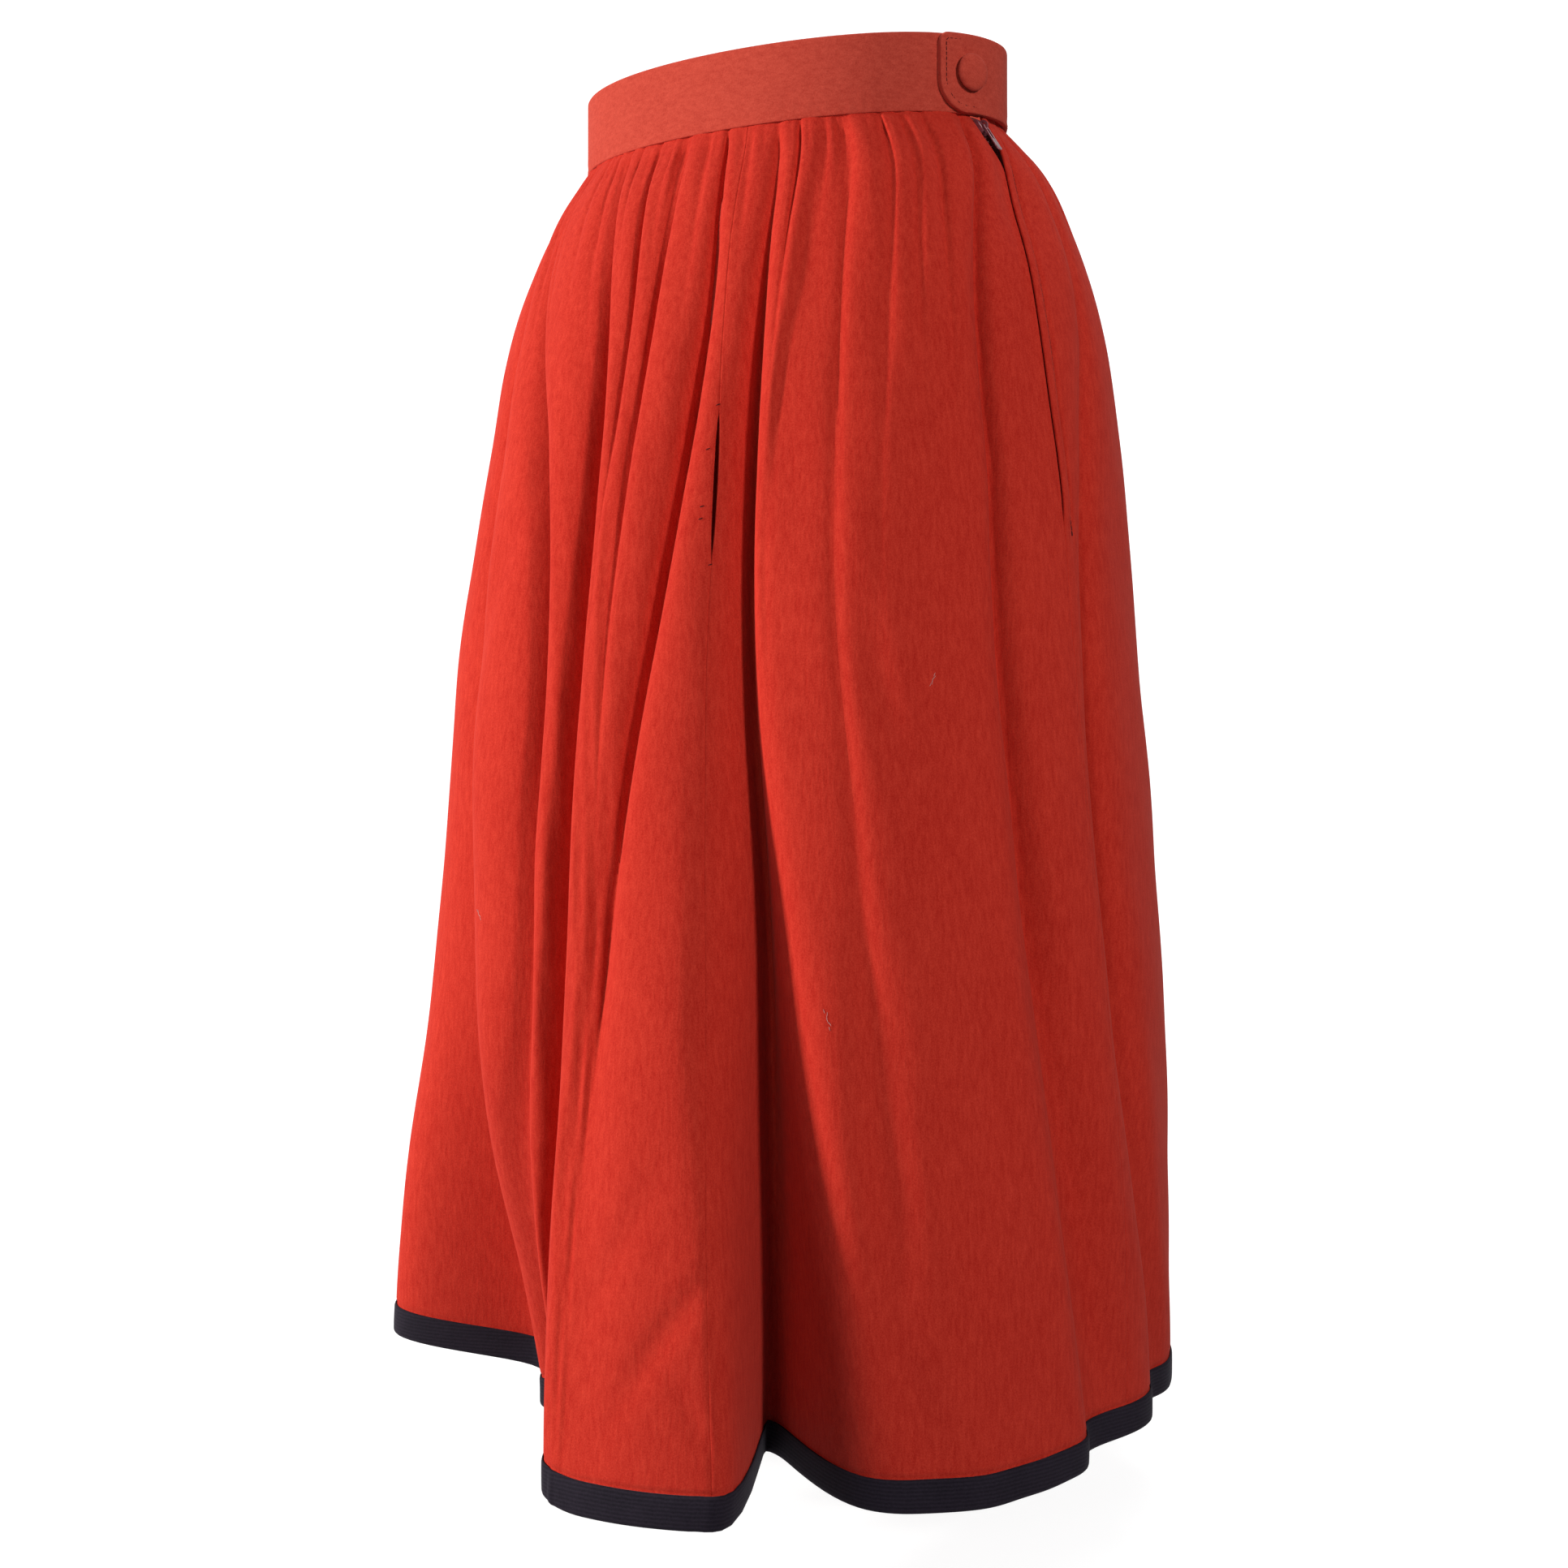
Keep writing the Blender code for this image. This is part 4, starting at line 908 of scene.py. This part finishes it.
def new_material(name, roughness, specular=0.5, sheen=0.0, sheen_roughness=0.5, metallic=0.0):
    """A material with its constants set on the shader. Returns it, its nodes and its shader."""
    made = bpy.data.materials.new(name)
    made.use_nodes = True
    nodes = made.node_tree.nodes
    shader = nodes["Principled BSDF"]
    shader.inputs["Roughness"].default_value = roughness
    shader.inputs["Specular IOR Level"].default_value = specular
    shader.inputs["Sheen Weight"].default_value = sheen
    shader.inputs["Sheen Roughness"].default_value = sheen_roughness
    shader.inputs["Metallic"].default_value = metallic
    return made, made.node_tree, shader


def noise(tree, scale, detail, stretch=(1, 1, 1)):
    """A noise texture in metres, stretched along the given axes."""
    place = tree.nodes.new("ShaderNodeTexCoord")
    mapping = tree.nodes.new("ShaderNodeMapping")
    mapping.inputs["Scale"].default_value = stretch
    texture = tree.nodes.new("ShaderNodeTexNoise")
    texture.inputs["Scale"].default_value = scale
    texture.inputs["Detail"].default_value = detail
    texture.inputs["Roughness"].default_value = NOISE_ROUGHNESS
    tree.links.new(place.outputs["Object"], mapping.inputs["Vector"])
    tree.links.new(mapping.outputs["Vector"], texture.inputs["Vector"])
    return texture.outputs["Fac"]


def weighted(tree, parts):
    """Sum of socket times weight, for a list of (socket, weight)."""
    total = None
    for socket, weight in parts:
        step = tree.nodes.new("ShaderNodeMath")
        step.operation = "MULTIPLY_ADD"
        step.inputs[1].default_value = weight
        tree.links.new(socket, step.inputs[0])
        if total is None:
            step.inputs[2].default_value = 0.0
        else:
            tree.links.new(total, step.inputs[2])
        total = step.outputs[0]
    return total


def colour_between(tree, factor, low, high, deep, light):
    """Colour from deep to light as factor goes from low to high."""
    ramp = tree.nodes.new("ShaderNodeValToRGB")
    ramp.color_ramp.elements[0].position = low
    ramp.color_ramp.elements[1].position = high
    ramp.color_ramp.elements[0].color = deep
    ramp.color_ramp.elements[1].color = light
    tree.links.new(factor, ramp.inputs["Fac"])
    return ramp.outputs["Color"]


def bumped(tree, shader, height, distance, strength):
    """Fine relief from a height socket."""
    bump = tree.nodes.new("ShaderNodeBump")
    bump.inputs["Strength"].default_value = strength
    bump.inputs["Distance"].default_value = distance
    tree.links.new(height, bump.inputs["Height"])
    tree.links.new(bump.outputs["Normal"], shader.inputs["Normal"])


def wool(name, deep, light, stretch):
    """Brushed wool flannel: a fine melange of fibres under a short soft nap."""
    made, tree, shader = new_material(name, 0.96, specular=0.12, sheen=0.10, sheen_roughness=0.42)
    shader.inputs["Sheen Tint"].default_value = WOOL_SHEEN
    patches = noise(tree, scale=11, detail=3)
    cloudy = noise(tree, scale=70, detail=4)
    fibres = noise(tree, scale=520, detail=3, stretch=stretch)
    grain = noise(tree, scale=1500, detail=2)
    factor = weighted(tree, [(patches, 0.10), (cloudy, 0.07), (fibres, 0.38), (grain, 0.45)])
    colour = colour_between(tree, factor, low=0.34, high=0.66, deep=deep, light=light)
    tree.links.new(colour, shader.inputs["Base Color"])
    height = weighted(tree, [(fibres, 0.55), (grain, 0.25), (cloudy, 0.20)])
    bumped(tree, shader, height, distance=0.0006, strength=0.55)
    return made


def woven(name, deep, light, pitch):
    """Plain woven tape: fine crossing ribs with slight unevenness."""
    made, tree, shader = new_material(name, 0.88, specular=0.15, sheen=0.04, sheen_roughness=0.4)
    shader.inputs["Sheen Tint"].default_value = WEAVE_SHEEN
    place = tree.nodes.new("ShaderNodeTexCoord")
    ribs = tree.nodes.new("ShaderNodeTexWave")
    ribs.wave_type = "BANDS"
    ribs.bands_direction = "Z"
    ribs.inputs["Scale"].default_value = 1.0 / (pitch * WAVE_TURN)
    ribs.inputs["Distortion"].default_value = 1.5
    ribs.inputs["Detail Scale"].default_value = 2.0
    tree.links.new(place.outputs["Object"], ribs.inputs["Vector"])
    grain = noise(tree, scale=900, detail=3)
    patches = noise(tree, scale=40, detail=3)
    factor = weighted(tree, [(ribs.outputs["Fac"], 0.20), (grain, 0.45), (patches, 0.35)])
    colour = colour_between(tree, factor, low=0.30, high=0.75, deep=deep, light=light)
    tree.links.new(colour, shader.inputs["Base Color"])
    bumped(tree, shader, factor, distance=0.0004, strength=0.5)
    return made


def thread(name, colour):
    """Sewing thread, with a faint twist."""
    made, tree, shader = new_material(name, 0.8, specular=0.2)
    twist = noise(tree, scale=2500, detail=2)
    deep = tuple(DEEP_THREAD * c for c in colour[:3]) + (1.0,)
    mixed = colour_between(tree, twist, low=0.35, high=0.65, deep=deep, light=colour)
    tree.links.new(mixed, shader.inputs["Base Color"])
    bumped(tree, shader, twist, distance=0.0001, strength=0.4)
    return made


def enamel(name, colour):
    """Glossy enamel on the zip's metal parts, slightly worn."""
    made, tree, shader = new_material(name, 0.28, specular=0.6, metallic=0.35)
    shader.inputs["Coat Weight"].default_value = 0.5
    shader.inputs["Coat Roughness"].default_value = 0.12
    wear = noise(tree, scale=600, detail=4)
    worn = tuple(min(1.0, WORN_ENAMEL * c) for c in colour[:3]) + (1.0,)
    mixed = colour_between(tree, wear, low=0.45, high=0.8, deep=colour, light=worn)
    tree.links.new(mixed, shader.inputs["Base Color"])
    bumped(tree, shader, wear, distance=0.0001, strength=0.25)
    return made


# Zip, button and other small parts

TAPE_HALF_WIDTH = 0.0095
TAPE_DEPTH = -0.0042
TAPE_TOP_Z = SEAM_Z + 0.001
TAPE_CLOTH = 0.0006
TAPE_ROWS = 60
TAPE_COLUMNS = 9
TOOTH_PITCH = 0.0013
TOOTH_LENGTH = 0.0030
TOOTH_RADIUS = 0.00045
TOOTH_SIDE = 0.0012
TOOTH_DEPTH = -0.0033


def make_tape(finish):
    """The zip's tape behind the opening, from under the waistband to below its stop."""
    heights = np.linspace(TAPE_TOP_Z, ZIP_BOTTOM_Z, TAPE_ROWS)
    middles, speeds = seam_at(LEFT_SEAM, heights)
    across = np.linspace(-TAPE_HALF_WIDTH, TAPE_HALF_WIDTH, TAPE_COLUMNS)
    bearings = middles[:, None] + across / speeds[:, None]
    z = np.broadcast_to(heights[:, None], bearings.shape)
    piece = add_mesh("zip_tape_cloth", off_wall(bearings, z, TAPE_DEPTH),
                     grid_faces(len(heights), len(across)), finish)
    return thicken(piece, TAPE_CLOTH)


def make_teeth(finish):
    """The coil's two rows of teeth, meshed along the middle of the tape."""
    count = round((TAPE_TOP_Z - ZIP_BOTTOM_Z) / TOOTH_PITCH)
    places = []
    for k in range(count):
        z = np.array(TAPE_TOP_Z - (k + 0.5) * TOOTH_PITCH)
        side = TOOTH_SIDE if k % 2 else -TOOTH_SIDE
        middle, speed = seam_at(LEFT_SEAM, z)
        ends = [off_wall(middle + (side + d) / speed, z, TOOTH_DEPTH)
                for d in (-TANGENT_STEP, TANGENT_STEP)]
        places.append((0.5 * (ends[0] + ends[1]), ends[1] - ends[0], wall_normal(middle, z)))
    return capsules("zip_teeth", places, TOOTH_LENGTH, TOOTH_RADIUS, finish)


# The covered button's section from its back to its top, as shares of its radius and height
DomePoint = namedtuple("DomePoint", "out up")
BUTTON_DOME = (
    DomePoint(0.00, 0.02),
    DomePoint(0.60, 0.00),
    DomePoint(0.80, 0.04),
    DomePoint(0.93, 0.16),
    DomePoint(0.99, 0.32),
    DomePoint(1.00, 0.45),
    DomePoint(0.97, 0.60),
    DomePoint(0.90, 0.74),
    DomePoint(0.78, 0.86),
    DomePoint(0.60, 0.94),
    DomePoint(0.40, 0.985),
    DomePoint(0.20, 1.00),
    DomePoint(0.00, 1.00),
)
BUTTON_STEPS = 72
BUTTON_PLEATS = 18
BUTTON_PLEAT_DEPTH = 0.018
BUTTON_MERGE = 0.00001


def make_button(finish):
    """The cloth covered button, with the cloth drawn in small pleats round its edge."""
    t = math.radians(BUTTON_BEARING)
    half_width, half_depth, _, _ = outline(SEAM_Z)
    outward = np.array([float(half_depth) * math.sin(t), -float(half_width) * math.cos(t), 0.0])
    outward /= np.linalg.norm(outward)
    down = np.array([0.0, 0.0, -1.0])
    across = np.cross(down, outward)
    base = band_point(BUTTON_BEARING, BUTTON_Z, TAB_LIFT + BAND_THICKNESS + GAP)
    angles = np.linspace(0, 2 * math.pi, BUTTON_STEPS, endpoint=False)
    rows = []
    for out, up in BUTTON_DOME:
        pleat = 1 - BUTTON_PLEAT_DEPTH * (1 - up) * (0.5 + 0.5 * np.cos(BUTTON_PLEATS * angles))
        radius = 0.5 * BUTTON_DIAMETER * out * pleat
        rows.append(base + outward * up * BUTTON_HEIGHT + radius[:, None] * (
            np.cos(angles)[:, None] * across + np.sin(angles)[:, None] * down))
    points = np.stack(rows)
    piece = add_mesh("button_cover", points, grid_faces(len(rows), BUTTON_STEPS, closed=True),
                     finish)
    face_out(piece.data, BUTTON_MERGE)
    return piece


# Stray fibres that lie on the nap, with the turn of each in radians from level
Lint = namedtuple("Lint", "bearing z length turn")
LINT = (
    Lint(-2.0, -0.565, 0.012, 0.4),
    Lint(38.0, -0.455, 0.010, 1.9),
    Lint(52.0, -0.300, 0.006, 1.1),
    Lint(-24.0, -0.420, 0.007, 2.4),
    Lint(170.0, -0.350, 0.009, 0.9),
    Lint(215.0, -0.520, 0.008, 2.0),
)
LINT_LINKS = 6
LINT_BEND = 0.35
LINT_BENDS_OVER = 1.3
LINT_STEP_BEARING = 0.2
LINT_STEP_Z = 0.0007
LINT_RADIUS_ROUND = 0.2


def make_lint(finish):
    """A few stray fibres, each a bent chain of short threads."""
    places = []
    for row in LINT:
        for k in range(LINT_LINKS):
            reach = (k - 0.5 * (LINT_LINKS - 1)) / LINT_LINKS * row.length
            bend = row.turn + LINT_BEND * math.sin(LINT_BENDS_OVER * k)
            bearing = row.bearing + math.degrees(reach * math.cos(bend) / LINT_RADIUS_ROUND)
            z = row.z + reach * math.sin(bend)
            point = off_wall(np.array(bearing), np.array(z), FIBRE.lift)
            ahead = off_wall(np.array(bearing + LINT_STEP_BEARING * math.cos(bend)),
                             np.array(z + LINT_STEP_Z * math.sin(bend)), FIBRE.lift)
            places.append((point, ahead - point, wall_normal(np.array(bearing), np.array(z))))
    return capsules("lint", places, FIBRE.length, FIBRE.radius, finish)


def make_band_stitches(finish):
    """Stitching round the tab's edge."""
    half_width, half_depth, _, _ = outline(SEAM_Z)
    speed = float(arc_speed(TAB_END_BEARING, half_width, half_depth))
    low, high = -0.5 * BAND_HEIGHT + TAB_RIM, 0.5 * BAND_HEIGHT - TAB_RIM
    path = [(d, high) for d in np.linspace(TAB_LINE_REACH, TAB_TOP_CORNER, 12)]
    radius = TAB_TOP_CORNER - TAB_RIM
    path += [(TAB_TOP_CORNER - radius * math.sin(a), high - radius * (1 - math.cos(a)))
             for a in np.linspace(0, 0.5 * math.pi, 5)[1:]]
    radius = TAB_CORNER - TAB_RIM
    path += [(TAB_CORNER - radius * math.cos(a), low + radius * (1 - math.sin(a)))
             for a in np.linspace(0, 0.5 * math.pi, 9)]
    path += [(d, low) for d in np.linspace(TAB_CORNER, TAB_LINE_REACH, 8)[1:]]
    offset = TAB_LIFT + BAND_THICKNESS - TAB_RIM_SINK + TAB_STITCH.lift
    bearings = np.array([TAB_END_BEARING + d / speed for d, _ in path])
    heights = np.array([z for _, z in path])
    points = band_point(bearings, heights, offset)
    normals = band_point(bearings, heights, offset + MILLIMETRE) - points
    places = stitches_along(points, normals, TAB_STITCH.pitch)
    return capsules("tab_stitches", places, TAB_STITCH.length, TAB_STITCH.radius, finish)


# Tack marks beside the slit: height, and how far from the seam towards the wearer's right. Each
# runs TACK_TURN degrees round the skirt for every TACK_RISE metres up.
TACK_TURN = 0.3
TACK_RISE = 0.0004
Tack = namedtuple("Tack", "z aside")
TACKS = (
    Tack(-0.190, 0.0042),
    Tack(-0.218, 0.0056),
    Tack(-0.224, 0.0060),
    Tack(-0.168, 0.0004),
    Tack(-0.246, 0.0004),
)


def make_tacks(finish):
    """Short hand stitches that hold the slit's edges and ends."""
    places = []
    for z, aside in TACKS:
        bearing = np.array(beside_seam(FRONT_SEAM, -aside, np.array(z)))
        point = off_wall(bearing, np.array(z), TACK.lift)
        ahead = off_wall(bearing + TACK_TURN, np.array(z + TACK_RISE), TACK.lift)
        places.append((point, ahead - point, wall_normal(bearing, np.array(z))))
    return capsules("slit_tacks", places, TACK.length, TACK.radius, finish)


# Scene: floor, light and camera

def make_floor():
    """A white floor that bends up into a wall behind the skirt."""
    made, _, shader = new_material("pale_floor", 0.75)
    shader.inputs["Base Color"].default_value = FLOOR_PALE
    shader.inputs["Emission Color"].default_value = (*WHITE, 1.0)
    shader.inputs["Emission Strength"].default_value = FLOOR_GLOW
    profile = [(-FLOOR_SIZE, 0.0), (FLOOR_BACK, 0.0)]
    profile += [(FLOOR_BACK + FLOOR_BEND * math.sin(a), FLOOR_BEND * (1 - math.cos(a)))
                for a in np.linspace(0, 0.5 * math.pi, 13)[1:]]
    profile.append((FLOOR_BACK + FLOOR_BEND, FLOOR_WALL))
    turn = Matrix.Rotation(math.radians(CAMERA_AZIMUTH), 4, "Z")
    points = []
    for depth, up in profile:
        for side in (-FLOOR_SIZE, FLOOR_SIZE):
            points.append(turn @ Vector((side, depth, FLOOR_Z + up)))
    floor = add_mesh("floor", points, grid_faces(len(profile), 2), made)
    floor.visible_diffuse = False


WHITE = (1.0, 1.0, 1.0)
WARM = (1.0, 0.98, 0.94)
COOL = (0.75, 0.86, 1.0)
WORLD_STRENGTH = 0.09
MIDDLE = (0.0, 0.0, -0.35)

# Soft square lights, each looking at its target
Lamp = namedtuple("Lamp", "name place target size watts colour")
LAMPS = (
    Lamp("key", (-1.84, -1.72, 0.2), MIDDLE, 0.26, 79.0, WARM),
    Lamp("right", (2.42, -1.02, 0.5), MIDDLE, 0.30, 35.0, WHITE),
    Lamp("front", (0.75, -2.4, 0.3), MIDDLE, 0.40, 6.0, WHITE),
    Lamp("low_cool", (-1.2, -1.9, -0.5), (-0.1, -0.1, -0.65), 0.8, 9.0, COOL),
    Lamp("overhead", (0.0, 0.3, 2.4), MIDDLE, 2.4, 12.0, WHITE),
    Lamp("wall_wash", (-0.5, 0.9, 2.2), (-2.0, 3.0, 0.2), 2.0, 90.0, WHITE),
)


def make_lights():
    """The white surroundings and the lamps."""
    world = bpy.data.worlds.new("soft_white")
    world.use_nodes = True
    background = world.node_tree.nodes["Background"]
    background.inputs["Color"].default_value = (*WHITE, 1.0)
    background.inputs["Strength"].default_value = WORLD_STRENGTH
    bpy.context.scene.world = world
    bpy.context.scene.view_settings.view_transform = "Standard"
    for row in LAMPS:
        data = bpy.data.lights.new(row.name, "AREA")
        data.shape = "SQUARE"
        data.size = row.size
        data.energy = row.watts
        data.color = row.colour
        lamp = bpy.data.objects.new(row.name, data)
        lamp.location = row.place
        aim = Vector(row.target) - Vector(row.place)
        lamp.rotation_euler = aim.to_track_quat("-Z", "Y").to_euler()
        bpy.context.scene.collection.objects.link(lamp)


def make_camera():
    """The photograph's camera, level, with its picture shifted to the horizon's row."""
    data = bpy.data.cameras.new("camera")
    data.sensor_width = SENSOR_MM
    data.sensor_fit = "HORIZONTAL"
    data.lens = FOCAL_PX / PHOTO_SIDE * SENSOR_MM
    data.shift_y = (HORIZON_ROW - 0.5 * PHOTO_SIDE) / PHOTO_SIDE
    data.clip_end = CAMERA_CLIP
    camera = bpy.data.objects.new("camera", data)
    turn = math.radians(CAMERA_AZIMUTH)
    right = Vector((math.cos(turn), math.sin(turn), 0.0))
    ahead = Vector((-math.sin(turn), math.cos(turn), 0.0))
    camera.location = -ahead * CAMERA_DISTANCE - right * CAMERA_SIDESTEP
    camera.location.z = CAMERA_HEIGHT
    camera.rotation_euler = (0.5 * math.pi, 0.0, turn)
    bpy.context.scene.collection.objects.link(camera)
    bpy.context.scene.camera = camera


def main():
    """Dresses the solids and sets the scene round them."""
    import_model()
    make_camera()
    make_lights()
    make_floor()

    wool_cloth = wool("brushed_wool_cloth", WOOL_DEEP, WOOL_LIGHT, stretch=(1.0, 1.0, 0.22))
    band_cloth = wool("waistband_wool_cloth", BAND_DEEP, BAND_LIGHT, stretch=(0.5, 0.5, 1.0))
    navy = woven("binding_weave", NAVY_DEEP, NAVY_LIGHT, pitch=0.0009)
    tape_weave = woven("zip_tape_weave", TAPE_DEEP, TAPE_LIGHT, pitch=0.0008)
    red_thread = thread("red_thread", THREAD_RED)
    pale_fibre = thread("pale_fibre", LINT_PALE)
    rose = enamel("rose_enamel", ENAMEL_ROSE)
    coil = enamel("coil_nylon", COIL_ROSE)

    def front_seam(side):
        return lambda z: seam_edge(FRONT_SEAM, z, side, slit_opening(z))

    def plain_seam(seam, side, turn=0.0):
        return lambda z: seam_edge(seam, z, side, 0.0) + turn

    def zip_front(z):
        return seam_edge(LEFT_SEAM, z, -1, mouth_opening(z))

    right = make_panel("front_right_cloth", plain_seam(RIGHT_SEAM, 1), front_seam(-1),
                       FRONT_COLUMNS, wool_cloth)
    left = make_panel("front_left_cloth", front_seam(1), zip_front, FRONT_COLUMNS, wool_cloth)
    back = make_panel("back_cloth", plain_seam(LEFT_SEAM, 1), plain_seam(RIGHT_SEAM, -1, FULL_TURN),
                      BACK_COLUMNS, wool_cloth, lap_rise)
    binding = make_binding(navy)
    band = make_band(band_cloth)
    tape = make_tape(tape_weave)
    teeth = make_teeth(coil)
    button = make_button(band_cloth)
    lap_line = make_topstitch(red_thread)
    lint = make_lint(pale_fibre)
    tacks = make_tacks(red_thread)
    tab_line = make_band_stitches(red_thread)

    for node in ("zip_slider", "zip_pull"):
        bpy.data.objects[node].data.materials[0] = rose

    for piece, node, slot in ((right, "front_right_panel", "brushed_wool"),
                              (left, "front_left_panel", "brushed_wool"),
                              (back, "back_panel", "brushed_wool"),
                              (binding, "hem_binding", "woven_binding"),
                              (band, "waistband", "waistband_wool"),
                              (tape, "zip_tape", "zip_tape"),
                              (button, "waist_button", "waistband_wool")):
        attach(piece, "skirt")
        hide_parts(node)
    for piece, slot in ((teeth, "zip_enamel"), (lap_line, "brushed_wool"), (lint, "brushed_wool"),
                        (tacks, "brushed_wool"), (tab_line, "waistband_wool")):
        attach(piece, "skirt")


main()
